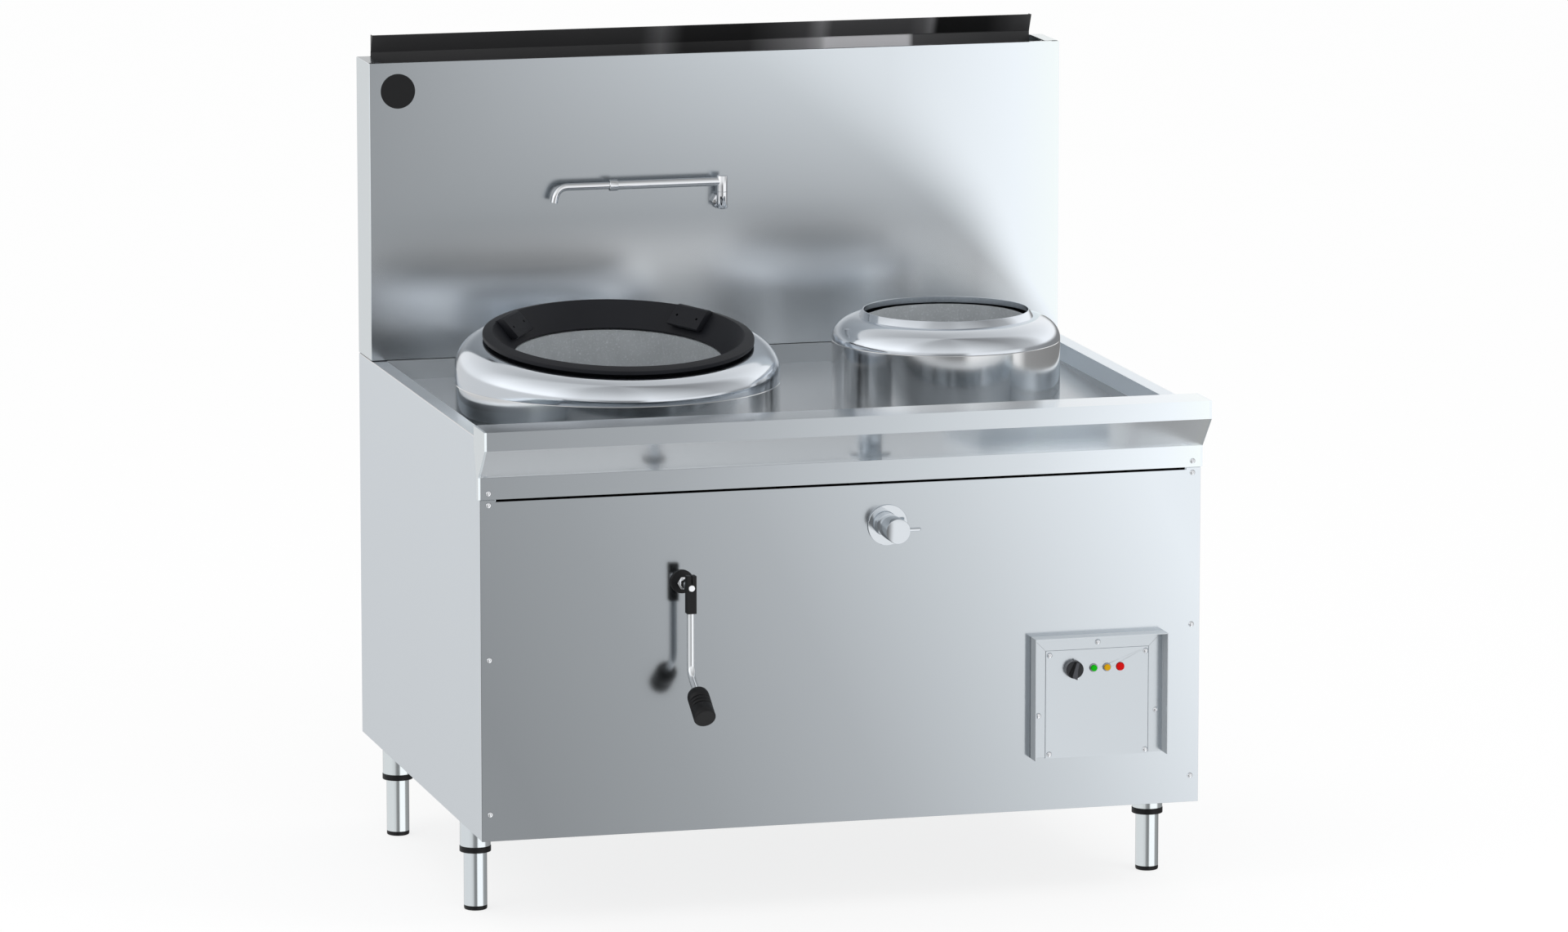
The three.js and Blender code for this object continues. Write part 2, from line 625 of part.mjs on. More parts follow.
// ---------------------------------------------------------------- splashback and flue
function splashbackShell() {
  const back = DEPTH - SHEET - GAP;
  const bottom = SIDE_TOP + SPLASH_SLOT;
  const walls = prism(
    folded([[HALF, back], [HALF, SPLASH_Y], [-HALF, SPLASH_Y], [-HALF, back]]),
    'z', bottom, SPLASH_TOP,
  );
  const inner = HALF - SHEET + 0.01;
  const sideLips = [-1, 1].map((side) => block(
    Math.min(side * inner, side * (HALF - SPLASH_SIDE_LIP)),
    Math.max(side * inner, side * (HALF - SPLASH_SIDE_LIP)),
    SPLASH_Y + SPLASH_RELIEF, back, SPLASH_TOP - SHEET, SPLASH_TOP,
  ));
  const frontX = HALF - SPLASH_RELIEF;
  const frontLips = [SPLASH_TOP - SHEET, bottom].map((z) => block(
    -frontX, frontX, SPLASH_Y + SHEET - 0.01, SPLASH_Y + SPLASH_FRONT_LIP, z, z + SHEET,
  ));
  return cut(
    join(walls, ...sideLips, ...frontLips),
    rod(SPOUT_STUB_RADIUS + GAP, 0, SPOUT_INLET_Z, SPLASH_Y - 1, SPLASH_Y + SHEET + 1, 16),
  );
}

function splashbackBack() {
  const x = HALF - SHEET - GAP;
  return block(-x, x, DEPTH - SHEET, DEPTH, SIDE_TOP, SPLASH_TOP);
}

// Upright leaf against the back wall, folded forwards above it, with closed ends.
function flueDeflector() {
  const x = HALF - SPLASH_SIDE_LIP - FLUE_STRIP_MARGIN;
  const y = DEPTH - SHEET - GAP;
  const fold = SPLASH_TOP + FLUE_STRIP_FOLD;
  const top = SPLASH_TOP + FLUE_STRIP_HEIGHT;
  const leaf = prism(folded([
    [y - SHEET - FLUE_STRIP_LEAN, top],
    [y - SHEET, fold],
    [y - SHEET, fold - FLUE_STRIP_DEPTH],
  ].reverse().map(([a, b]) => [a, b])), 'x', -x, x);
  const ends = [-x, x - SHEET].map((x0) => prism([
    [y - SHEET + 0.5, fold], [y - SHEET - FLUE_STRIP_LEAN, top], [y - SHEET + 0.5, top],
  ], 'x', x0, x0 + SHEET));
  return join(leaf, ...ends);
}

function badgePlate() {
  return rod(BADGE_RADIUS, BADGE_X, BADGE_Z, SPLASH_Y - GAP - BADGE_THICK, SPLASH_Y - GAP, 32);
}

// ---------------------------------------------------------------- burner housings
// Circles of the wok housing's outer skin, its shoulder leaning over step by step.
function wokSkin(inset, steps) {
  const circles = [
    { z: HOUSING_BOTTOM, r: WOK_RADIUS - inset },
    { z: WOK_SHOULDER_Z, r: WOK_RADIUS - inset },
  ];
  const length = (WOK_RING_Z - WOK_SHOULDER_Z) / Math.cos(TILT) - RING_EDGE - RING_STAND;
  const straight = length - SHOULDER;
  for (let i = 0; i <= steps; i += 1) {
    const a = (Math.PI / 2) * (i / steps);
    const along = straight + (SHOULDER - inset) * Math.sin(a);
    const r = WOK_RADIUS - SHOULDER + (SHOULDER - inset) * Math.cos(a);
    const lean = TILT * (0.58 + 0.42 * (i / steps));
    circles.push({
      y: -along * Math.sin(lean), z: WOK_SHOULDER_Z + along * Math.cos(lean), r, tilt: lean,
    });
  }
  return circles;
}

function wokHousing() {
  const outer = wokSkin(0, 5);
  const inner = wokSkin(HOUSING_WALL, 3);
  const last = outer[outer.length - 1];
  const mouth = RING_RADIUS - RING_LEDGE;
  const under = inner[inner.length - 1];
  const shell = loft([
    ...outer,
    { ...last, r: mouth },
    { ...under, r: mouth },
    ...inner.slice(1, -1).reverse(),
    { z: HOUSING_BOTTOM + HOUSING_WALL, r: WOK_RADIUS - HOUSING_WALL },
    { z: HOUSING_BOTTOM + HOUSING_WALL, r: HEAD_RADIUS + AIR_GAP },
    { z: HOUSING_BOTTOM, r: HEAD_RADIUS + AIR_GAP },
  ], WOK_SIDES);
  return cut(shell, ductPort(POT_X - WOK_X));
}

// Horizontal flue duct's clearance hole between the two cans, seen from one can's axis.
function ductPort(reach) {
  const half = DUCT_WIDTH / 2 + GAP;
  return block(
    Math.min(0, reach), Math.max(0, reach), -half, half, DUCT_Z - GAP, DUCT_Z + DUCT_HEIGHT + GAP,
  );
}

// Fired bowl round the burner, its top leaning with the ring it stands under.
function wokRefractory() {
  const r = WOK_RADIUS - HOUSING_WALL - LINING_GAP;
  const z = HOUSING_BOTTOM + HOUSING_WALL + GAP;
  const hole = HEAD_RADIUS + AIR_GAP;
  const along = (WOK_RING_Z - WOK_SHOULDER_Z) / Math.cos(TILT)
    - RING_DROP - RING_LIP - GAP - LINING_TOP_CLEAR;
  const top = { y: -along * Math.sin(TILT), z: WOK_SHOULDER_Z + along * Math.cos(TILT), tilt: TILT };
  const lining = loft([
    { z, r }, { z: WOK_SHOULDER_Z - 10, r }, { ...top, r: r - 13 },
    { ...top, r: RING_MOUTH + LINING_THROAT }, { z: JET_TOP_Z + 20, r: RING_MOUTH },
    { z: HEAD_TOP_Z, r: hole + 45 }, { z: HEAD_TOP_Z, r: hole }, { z, r: hole },
  ], 28);
  return cut(lining, liningPort(POT_X - WOK_X));
}

// Gap that a lining leaves for a duct, open to the housing's floor.
function liningPort(reach) {
  const half = DUCT_WIDTH / 2 + GAP;
  return block(
    Math.min(0, reach), Math.max(0, reach), -half, half, HOUSING_BOTTOM, DUCT_Z + DUCT_HEIGHT + GAP,
  );
}

// Flat-tipped jets on a drilled cast manifold.
function burnerHead() {
  const body = revolve([
    [0, THROAT_Z], [THROAT_RADIUS, THROAT_Z], [THROAT_RADIUS, THROAT_Z + 14],
    [HEAD_RADIUS - 8, HEAD_TOP_Z - HEAD_HEIGHT], [HEAD_RADIUS, HEAD_TOP_Z - HEAD_HEIGHT + 6],
    [HEAD_RADIUS, HEAD_TOP_Z - 4], [HEAD_RADIUS - 4, HEAD_TOP_Z], [0, HEAD_TOP_Z],
  ], 36);
  const jets = JET_CIRCLES.flatMap(([radius, count]) =>
    Array.from({ length: count }, (_, i) => {
      const turn = (360 * i) / count;
      return placed(duckBill(), turnZ(turn).multiply(shift(radius, 0, HEAD_TOP_Z - 0.5)));
    }));
  return join(body, ...jets);
}

// One jet: a round stem pinched to a slotted lip.
function duckBill() {
  const sides = 8;
  const levels = [
    [JET_RADIUS + 1, JET_RADIUS + 1, 0],
    [JET_RADIUS - 0.5, JET_RADIUS - 0.5, JET_HEIGHT * 0.55],
    [JET_RADIUS + 0.5, JET_RADIUS * 0.42, JET_HEIGHT],
  ];
  const vertices = [0, 0, 0];
  for (const [a, b, z] of levels) {
    for (let k = 0; k < sides; k += 1) {
      const t = (2 * Math.PI * k) / sides;
      vertices.push(a * Math.cos(t), b * Math.sin(t), z);
    }
  }
  vertices.push(0, 0, JET_HEIGHT);
  const faces = [];
  const last = vertices.length / 3 - 1;
  for (let k = 0; k < sides; k += 1) {
    const n = (k + 1) % sides;
    faces.push(0, 1 + n, 1 + k);
    faces.push(last, last - sides + k, last - sides + n);
    for (let i = 0; i < levels.length - 1; i += 1) {
      const [a, b] = [1 + i * sides + k, 1 + i * sides + n];
      faces.push(a, b, b + sides, a, b + sides, a + sides);
    }
  }
  const geometry = new THREE.BufferGeometry();
  geometry.setAttribute('position', new THREE.Float32BufferAttribute(vertices, 3));
  geometry.setIndex(faces);
  const slot = block(-JET_RADIUS + 1.5, JET_RADIUS - 1.5, -0.8, 0.8, JET_HEIGHT - 7, JET_HEIGHT + 1);
  return cut(solid(geometry), slot);
}

// Pilot tube and spark electrode on one bracket beside the head.
function pilotAssembly() {
  const r = HEAD_RADIUS + GAP;
  const z = HEAD_TOP_Z - HEAD_HEIGHT + 8;
  const bracket = block(r, r + 7, -11, 11, z, z + 8);
  const tube = drumAt(3.2, r + 5, -6, THROAT_Z, HEAD_TOP_Z + 14, 10);
  const electrode = drumAt(2.4, r + 5, 6, THROAT_Z, HEAD_TOP_Z + 22, 10);
  return join(bracket, tube, electrode);
}

function potHousing() {
  const arc = (inset, steps) => Array.from({ length: steps + 1 }, (_, i) => {
    const a = (Math.PI / 2) * (i / steps);
    return [
      POT_RADIUS - SHOULDER + (SHOULDER - inset) * Math.cos(a),
      POT_SHOULDER_Z + (POT_SHOULDER_HEIGHT - inset) * Math.sin(a),
    ];
  });
  const neck = POT_RADIUS - SHOULDER;
  const shell = revolve([
    [0, HOUSING_BOTTOM],
    [POT_RADIUS, HOUSING_BOTTOM],
    ...arc(0, 5),
    [neck - COLLAR_TAPER, POT_TOP],
    [neck - COLLAR_TAPER - HOUSING_WALL, POT_TOP],
    [neck - HOUSING_WALL, POT_COLLAR_BASE],
    ...arc(HOUSING_WALL, 2).reverse().slice(1),
    [POT_RADIUS - HOUSING_WALL, HOUSING_BOTTOM + HOUSING_WALL],
    [0, HOUSING_BOTTOM + HOUSING_WALL],
  ], POT_SIDES);
  return cut(shell, ductPort(WOK_X - POT_X), rearPort());
}

function rearPort() {
  const half = DUCT_WIDTH / 2 + GAP;
  return block(-half, half, 0, POT_RADIUS + 20, DUCT_Z - GAP, DUCT_Z + DUCT_HEIGHT + GAP);
}

function potRefractory() {
  const r = POT_RADIUS - HOUSING_WALL - LINING_GAP;
  const z = HOUSING_BOTTOM + HOUSING_WALL + GAP;
  const neck = POT_RADIUS - SHOULDER - HOUSING_WALL - LINING_GAP;
  const lining = revolve([
    [neck - LINING_NECK, z], [r, z], [r, POT_SHOULDER_Z - 4], [r - 10, POT_SHOULDER_Z + 12],
    [neck + 12, POT_COLLAR_BASE - 12], [neck, POT_COLLAR_BASE - 5], [neck - 14, POT_COLLAR_BASE],
    [neck - LINING_NECK, DUCT_Z + DUCT_HEIGHT + 10],
  ], 28);
  const half = DUCT_WIDTH / 2 + GAP;
  const rear = block(-half, half, 0, POT_RADIUS, HOUSING_BOTTOM, DUCT_Z + DUCT_HEIGHT + GAP);
  return cut(lining, liningPort(WOK_X - POT_X), rear);
}

// Round tile on the can's floor, level with the floors of the ducts.
function potHearth() {
  const neck = POT_RADIUS - SHOULDER - HOUSING_WALL - LINING_GAP;
  return drum(neck - LINING_NECK - GAP, HOUSING_BOTTOM + HOUSING_WALL + GAP, DUCT_Z, 28);
}

// ---------------------------------------------------------------- flue ducts
const tube4 = (outer, inner) => cut(block(...outer), block(...inner));

function crossFlueDuct() {
  const half = DUCT_WIDTH / 2;
  const x0 = WOK_X + WOK_RADIUS - DUCT_ENTRY;
  const x1 = POT_X - POT_RADIUS + DUCT_ENTRY;
  return tube4(
    [x0, x1, BURNER_Y - half, BURNER_Y + half, DUCT_Z, DUCT_Z + DUCT_HEIGHT],
    [x0 - 1, x1 + 1, BURNER_Y - half + SHEET, BURNER_Y + half - SHEET, DUCT_Z + SHEET,
      DUCT_Z + DUCT_HEIGHT - SHEET],
  );
}

// From the pot housing back under the tray to the foot of the riser.
function rearFlueDuct() {
  const half = DUCT_WIDTH / 2;
  const y0 = BURNER_Y + POT_RADIUS - DUCT_ENTRY;
  const y1 = FLUE_FRONT - GAP;
  return tube4(
    [POT_X - half, POT_X + half, y0, y1, DUCT_Z, DUCT_Z + DUCT_HEIGHT],
    [POT_X - half + SHEET, POT_X + half - SHEET, y0 - 1, y1 + 1, DUCT_Z + SHEET,
      DUCT_Z + DUCT_HEIGHT - SHEET],
  );
}

// Upright duct inside the splashback, closed at its foot and open below the deflector.
function flueRiserDuct() {
  const half = RISER_WIDTH / 2;
  const back = DEPTH - SHEET - GAP - FLUE_BACK_CLEAR;
  const top = SPLASH_TOP - FLUE_TOP_DROP;
  const mouth = DUCT_WIDTH / 2 - SHEET;
  return cut(
    block(POT_X - half, POT_X + half, FLUE_FRONT, back, DUCT_Z, top),
    block(POT_X - half + SHEET, POT_X + half - SHEET, FLUE_FRONT + SHEET, back - SHEET,
      DUCT_Z + SHEET, top + 1),
    block(POT_X - mouth, POT_X + mouth, FLUE_FRONT - 1, FLUE_FRONT + SHEET + 1, DUCT_Z + SHEET,
      DUCT_Z + DUCT_HEIGHT - SHEET),
  );
}

// ---------------------------------------------------------------- gas and water
function gasInletPipe() {
  return pipe([
    [GAS_INLET_X, INLET_Y, LEG_HEIGHT - INLET_DROP],
    [GAS_INLET_X, INLET_Y, PIPE_LOW_Z],
    [GAS_INLET_X, VALVE_MID_Y, PIPE_LOW_Z],
    [GAS_INLET_X, VALVE_MID_Y, LEVER_Z],
    [LEVER_X - 1.5 * VALVE_SIZE - GAP, VALVE_MID_Y, LEVER_Z],
  ], GAS_PIPE_RADIUS, PIPE_BEND);
}

function valveBlock(x) {
  const h = VALVE_SIZE / 2;
  return block(x - h, x + h, VALVE_FRONT_Y, VALVE_FRONT_Y + VALVE_SIZE, LEVER_Z - h, LEVER_Z + h);
}

// Safety valve with its round magnet head and hexagonal cap.
function gasValveBlock() {
  const x = LEVER_X - VALVE_SIZE;
  const body = valveBlock(x - GAP / 2);
  const head = drumAt(VALVE_SIZE * 0.36, x, VALVE_MID_Y, LEVER_Z, LEVER_Z + VALVE_SIZE * 1.1, 20);
  const cap = drumAt(VALVE_SIZE * 0.3, x, VALVE_MID_Y, LEVER_Z - VALVE_SIZE, LEVER_Z, 6);
  return join(body, head, cap);
}

function kneeValveBody() {
  const boss = rod(LEVER_DISC_RADIUS, LEVER_X, LEVER_Z, SHEET + GAP, VALVE_FRONT_Y + 5, 24);
  return cut(
    join(valveBlock(LEVER_X + GAP / 2), boss),
    rod(LEVER_SHAFT_RADIUS + GAP, LEVER_X, LEVER_Z, 0, LEVER_SHAFT_SEAT + GAP, 16),
  );
}

function burnerFeedPipe() {
  return pipe([
    [LEVER_X, VALVE_FRONT_Y + VALVE_SIZE + GAP, LEVER_Z],
    [LEVER_X, BURNER_Y - FEED_BEND_Y, LEVER_Z],
    [WOK_X, BURNER_Y, LEVER_Z + 20],
    [WOK_X, BURNER_Y, THROAT_Z - GAP],
  ], GAS_PIPE_RADIUS, PIPE_BEND);
}

function tapValveBody() {
  const boss = rod(TAP_NECK_RADIUS, TAP_X, TAP_Z, SHEET + GAP, TAP_BODY_DEPTH, 20);
  const barrel = placed(drum(TAP_BODY_RADIUS, -TAP_BODY_HALF, TAP_BODY_HALF, 20),
    shift(TAP_X, TAP_BODY_DEPTH - TAP_BODY_RADIUS, TAP_Z).multiply(turnY(90)));
  return cut(
    join(boss, barrel),
    rod(TAP_STEM_RADIUS + GAP, TAP_X, TAP_Z, 0, TAP_STEM_SEAT + GAP, 16),
  );
}

function waterInletPipe() {
  const y = TAP_BODY_DEPTH - TAP_BODY_RADIUS;
  return pipe([
    [WATER_INLET_X, INLET_Y, LEG_HEIGHT - INLET_DROP],
    [WATER_INLET_X, INLET_Y, PIPE_LOW_Z],
    [WATER_INLET_X, y, PIPE_LOW_Z],
    [WATER_INLET_X, y, TAP_Z],
    [TAP_X + TAP_BODY_HALF + GAP, y, TAP_Z],
  ], WATER_PIPE_RADIUS, PIPE_BEND);
}

function waterRiserPipe() {
  const y = TAP_BODY_DEPTH - TAP_BODY_RADIUS;
  const back = SPLASH_Y + RISER_BACK;
  return pipe([
    [TAP_X - TAP_BODY_HALF - GAP, y, TAP_Z],
    [0, y, TAP_Z],
    [0, back, TAP_Z],
    [0, back, SPOUT_INLET_Z],
    [0, SPLASH_Y + SPOUT_STUB_TAIL + GAP, SPOUT_INLET_Z],
  ], WATER_PIPE_RADIUS, PIPE_BEND);
}

// ---------------------------------------------------------------- legs
function legSleeve() {
  const top = LEG_HEIGHT - GAP;
  const bottom = top - SLEEVE_HEIGHT - SLEEVE_RING;
  return revolve([
    [0, top], [0, top - SLEEVE_CAP],
    [INSERT_RADIUS + GAP, top - SLEEVE_CAP], [INSERT_RADIUS + GAP, bottom],
    [SLEEVE_RADIUS + 0.7, bottom], [SLEEVE_RADIUS + 0.7, bottom + SLEEVE_RING],
    [SLEEVE_RADIUS, bottom + SLEEVE_RING], [SLEEVE_RADIUS, top],
  ], 20);
}

function legInsert() {
  return drum(INSERT_RADIUS, FOOT_HEIGHT + GAP, LEG_HEIGHT - SLEEVE_CAP - 2 * GAP, 20);
}

function foot() {
  return revolve([
    [0, 0], [INSERT_RADIUS - 2, 0], [INSERT_RADIUS, 2], [INSERT_RADIUS, FOOT_HEIGHT], [0, FOOT_HEIGHT],
  ], 20);
}

// ---------------------------------------------------------------- wok ring
// Drawn about the ring's own axis, with the rim's outer edge at zero.
function wokRing() {
  const crest = RING_RADIUS - RING_RIM;
  const ring = revolve([
    [RING_MOUTH, -RING_DROP], [RING_MOUTH + RING_LIP, -RING_DROP - RING_LIP],
    [crest + RING_LIP, -RING_EDGE], [RING_RADIUS, -RING_EDGE], [RING_RADIUS, 0], [crest, RING_CREST],
  ], WOK_SIDES);
  return join(ring, ...LUG_ANGLES.map((angle) => placed(lug(), turnZ(angle))));
}

// Cast lug with a sloping face and two small holes; its back runs into the cone's wall.
function lug() {
  const a = THREE.MathUtils.degToRad(LUG_SLOPE);
  const wall = (s) => RING_MOUTH + RING_LIP + ((s + RING_DROP) / (RING_DROP + RING_CREST)) * RING_CONE;
  const foot = [RING_MOUTH - LUG_INSIDE, -LUG_FOOT];
  const top = [foot[0] + LUG_FACE * Math.cos(a), foot[1] + LUG_FACE * Math.sin(a)];
  const nose = [foot[0] + LUG_NOSE * Math.sin(a), foot[1] - LUG_NOSE * Math.cos(a)];
  const back = RING_CREST - 1;
  const body = prism([
    foot, nose, [wall(nose[1]), nose[1]], [wall(back), back], [top[0] + LUG_FLAT, top[1]], top,
  ].reverse(), 'y', -LUG_WIDTH / 2, LUG_WIDTH / 2);
  const middle = shift((foot[0] + top[0]) / 2, 0, (foot[1] + top[1]) / 2)
    .multiply(turnY(-LUG_SLOPE));
  const holes = [-1, 1].map((side) => placed(
    drumAt(LUG_HOLE, 0, (side * LUG_WIDTH) / 3, -LUG_HOLE_DEPTH, 1, 12), middle,
  ));
  return cut(body, ...holes);
}

// ---------------------------------------------------------------- knee lever
// Drawn about the shaft: X and Z from its axis, Y from the front panel's face.
function valveEscutcheon() {
  return cut(
    rod(LEVER_DISC_RADIUS, 0, 0, -GAP - LEVER_DISC, -GAP, 32),
    rod(LEVER_SHAFT_RADIUS + GAP, 0, 0, -GAP - LEVER_DISC - 1, 0, 16),
  );
}

function leverShaft() {
  const nutFront = -GAP - LEVER_DISC - GAP - LEVER_NUT;
  return join(
    rod(LEVER_SHAFT_RADIUS, 0, 0, CLAMP_FACE_Y - 0.6, LEVER_SHAFT_SEAT, 16),
    rod(LEVER_NUT_RADIUS, 0, 0, nutFront, nutFront + LEVER_NUT, 6),
    rod(LEVER_NUT_RADIUS * 0.72, 0, 0, CLAMP_FACE_Y + CLAMP_DEPTH + GAP, nutFront + 1, 20),
  );
}

function leverClamp() {
  const half = CLAMP_WIDTH / 2;
  const back = CLAMP_FACE_Y + CLAMP_DEPTH;
  return cut(
    block(-half, half, CLAMP_FACE_Y, back, -CLAMP_BELOW, CLAMP_ABOVE),
    rod(LEVER_SHAFT_RADIUS + GAP, 0, 0, CLAMP_FACE_Y - 1, back + 1, 16),
    block(-CLAMP_SLIT / 2, CLAMP_SLIT / 2, CLAMP_FACE_Y - 1, back + 1, 0, CLAMP_ABOVE + 1),
    drumAt(ROD_RADIUS + GAP, 0, ROD_Y, -CLAMP_BELOW - 1, ROD_TOP + GAP, 16),
  );
}

// Direction from the bend down and out along the grip.
function gripPoint(distance) {
  const a = THREE.MathUtils.degToRad(GRIP_SLOPE);
  return [0, ROD_Y - distance * Math.sin(a), -ROD_DROP - distance * Math.cos(a)];
}

function leverRod() {
  return pipe([[0, ROD_Y, ROD_TOP], [0, ROD_Y, -ROD_DROP], gripPoint(ROD_REACH + GRIP_BORE)],
    ROD_RADIUS, ROD_BEND, 14, 5);
}

// Turned black grip: rounded shoulder, three grooves and a flat end.
function leverGrip() {
  const r = GRIP_RADIUS;
  const grooves = [0, 1, 2].flatMap((i) => {
    const z = GRIP_LENGTH / 2 + (i - 1) * GRIP_GROOVE_PITCH;
    return [[r, z - 1.2], [r - 1.3, z], [r, z + 1.2]];
  });
  const body = revolve([
    [0, 0], [r - 8, 0], [r - 3.5, 2], [r - 1, 5.5], [r, 11], ...grooves,
    [r, GRIP_LENGTH - 2], [r - 2, GRIP_LENGTH], [0, GRIP_LENGTH],
  ], 20);
  const bore = drum(ROD_RADIUS + GAP, -1, GRIP_BORE + GAP, 14);
  const [, y, z] = gripPoint(ROD_REACH);
  return placed(cut(body, bore), shift(0, y, z).multiply(turnX(180 - GRIP_SLOPE)));
}

// ---------------------------------------------------------------- water tap
function tapEscutcheon() {
  return placed(cut(
    revolve([
      [0, 0], [TAP_PLATE_RADIUS, 0], [TAP_PLATE_RADIUS, 1], [TAP_PLATE_RADIUS - 3, TAP_PLATE],
      [0, TAP_PLATE],
    ], 36),
    drum(TAP_STEM_RADIUS + GAP, -1, TAP_PLATE + 1, 16),
  ), shift(0, -GAP, 0).multiply(toFront));
}

function tapKnob() {
  const foot = GAP + TAP_PLATE + GAP;
  const shoulder = TAP_STANDOFF - TAP_KNOB_LENGTH;
  const body = placed(revolve([
    [0, -TAP_STEM_SEAT], [TAP_STEM_RADIUS, -TAP_STEM_SEAT], [TAP_STEM_RADIUS, foot],
    [TAP_NECK_RADIUS, foot], [TAP_NECK_RADIUS, shoulder - 1], [TAP_KNOB_RADIUS, shoulder],
    [TAP_KNOB_RADIUS, TAP_STANDOFF - 1.5], [TAP_KNOB_RADIUS - 1.5, TAP_STANDOFF], [0, TAP_STANDOFF],
  ], 32), toFront);
  const pin = placed(drum(TAP_PIN_RADIUS, 0, TAP_PIN_REACH, 12),
    shift(0, -TAP_PIN_Y, 0).multiply(turnY(90)));
  return join(body, pin);
}

// ---------------------------------------------------------------- spout
// Drawn about the column's axis.
function spoutWallElbow() {
  const bottom = SPOUT_COLUMN_TOP - SPOUT_COLUMN_HEIGHT;
  const column = drum(SPOUT_COLUMN_RADIUS, bottom, SPOUT_SWIVEL_Z - GAP, 24);
  const stub = rod(SPOUT_STUB_RADIUS, 0, SPOUT_INLET_Z, 0, SPOUT_Y_OFF + SPOUT_STUB_TAIL, 16);
  const nut = rod(SPOUT_NUT_RADIUS, 0, SPOUT_INLET_Z, SPOUT_Y_OFF - GAP - SPOUT_NUT, SPOUT_Y_OFF - GAP, 6);
  return join(column, stub, nut);
}

function spoutColumn() {
  const hole = sideways(SPOUT_ARM_RADIUS + GAP, 0, SPOUT_COLUMN_RADIUS + 2);
  return cut(drum(SPOUT_COLUMN_RADIUS, SPOUT_SWIVEL_Z, SPOUT_COLUMN_TOP, 24), hole);
}

// Cylinder at arm height running from `from` to `to` left of the column.
function sideways(radius, from, to) {
  return placed(drum(radius, from, to, 20), shift(0, 0, SPOUT_ARM_Z).multiply(turnY(-90)));
}

function spoutArm() {
  const end = SPOUT_ARM_LENGTH;
  const collar = end - SPOUT_COLLAR_LENGTH;
  return cut(
    join(
      sideways(SPOUT_ARM_RADIUS, GAP, end),
      sideways(SPOUT_COLLAR_RADIUS, collar, end),
    ),
    sideways(SPOUT_TIP_RADIUS + GAP, SPOUT_TIP_START - SPOUT_PUSH_IN - 2, end + 1),
  );
}

function spoutTip() {
  const slope = THREE.MathUtils.degToRad(20);
  const drop = 19;
  return pipe([
    [-SPOUT_TIP_START - GAP, 0, SPOUT_ARM_Z],
    [-SPOUT_TIP_REACH + drop * Math.tan(slope) - 3, 0, SPOUT_ARM_Z],
    [-SPOUT_TIP_REACH - drop * Math.tan(slope) * 0.2, 0, SPOUT_ARM_Z - SPOUT_BEND],
  ], SPOUT_TIP_RADIUS, SPOUT_BEND * 0.75, 16, 6);
}

// ---------------------------------------------------------------- controls
function controlGuard() {
  const x0 = GUARD_X - GUARD_WIDTH / 2;
  const x1 = GUARD_X + GUARD_WIDTH / 2;
  const z1 = GUARD_BOTTOM + GUARD_HEIGHT;
  const hood = cut(
    block(x0, x1, -GUARD_DEPTH, PLATE_BACK_Y, GUARD_BOTTOM, z1),
    block(x0 + SHEET, x1 - SHEET, -GUARD_DEPTH - 1, PLATE_FACE_Y, GUARD_BOTTOM - 1, z1 - SHEET),
    block(x0 + GUARD_FLANGE, x1 - GUARD_FLANGE, PLATE_FACE_Y - 1, 1, GUARD_BOTTOM - 1, z1 - GUARD_FLANGE),
  );
  return hood;
}

function controlPlate() {
  const half = PLATE_WIDTH / 2;
  const hole = (x, r) => rod(r, x, CONTROL_ROW_Z, PLATE_FACE_Y - 1, 1, 20);
  return cut(
    block(GUARD_X - half, GUARD_X + half, PLATE_FACE_Y, PLATE_BACK_Y, PLATE_BOTTOM, PLATE_TOP),
    hole(SELECTOR_X, SELECTOR_STEM + GAP),
    hole(GREEN_X, LAMP_STEM + GAP),
    hole(GREEN_X + LAMP_PITCH, LAMP_STEM + GAP),
    hole(GREEN_X + 2 * LAMP_PITCH, BUTTON_RADIUS + GAP),
  );
}

// Sheet box behind the plate that holds the ignition parts.
function controlBox() {
  const half = PLATE_WIDTH / 2;
  const front = SHEET + GAP;
  return tube4(
    [GUARD_X - half, GUARD_X + half, front, front + BOX_DEPTH, PLATE_BOTTOM, PLATE_TOP],
    [GUARD_X - half + SHEET, GUARD_X + half - SHEET, front - 1, front + BOX_DEPTH - SHEET,
      PLATE_BOTTOM + SHEET, PLATE_TOP - SHEET],
  );
}

function selectorBezel() {
  const back = PLATE_FACE_Y - GAP;
  const tick = block(-1, 1, back - BEZEL_THICK - 0.4, back, BEZEL_RADIUS - 4, BEZEL_RADIUS - 0.5);
  return cut(
    join(rod(BEZEL_RADIUS, 0, 0, back - BEZEL_THICK, back, 32), tick),
    rod(SELECTOR_STEM + GAP, 0, 0, back - 5, back + 1, 16),
  );
}

function selectorKnob() {
  const back = PLATE_FACE_Y - 2 * GAP - BEZEL_THICK - 0.4;
  const face = PLATE_FACE_Y - SELECTOR_REACH;
  const skirt = rod(SELECTOR_RADIUS - 0.2, 0, 0, back - SELECTOR_SKIRT, back, 28);
  const bar = prism([
    [-4.5, 0.72 * SELECTOR_RADIUS], [4.5, 0.72 * SELECTOR_RADIUS],
    [2.6, -0.9 * SELECTOR_RADIUS], [-2.6, -0.9 * SELECTOR_RADIUS],
  ], 'y', face, back - 1);
  const stem = rod(SELECTOR_STEM, 0, 0, back - 1, SHEET + 12, 16);
  return join(skirt, placed(bar, turnY(-SELECTOR_TURN)), stem);
}

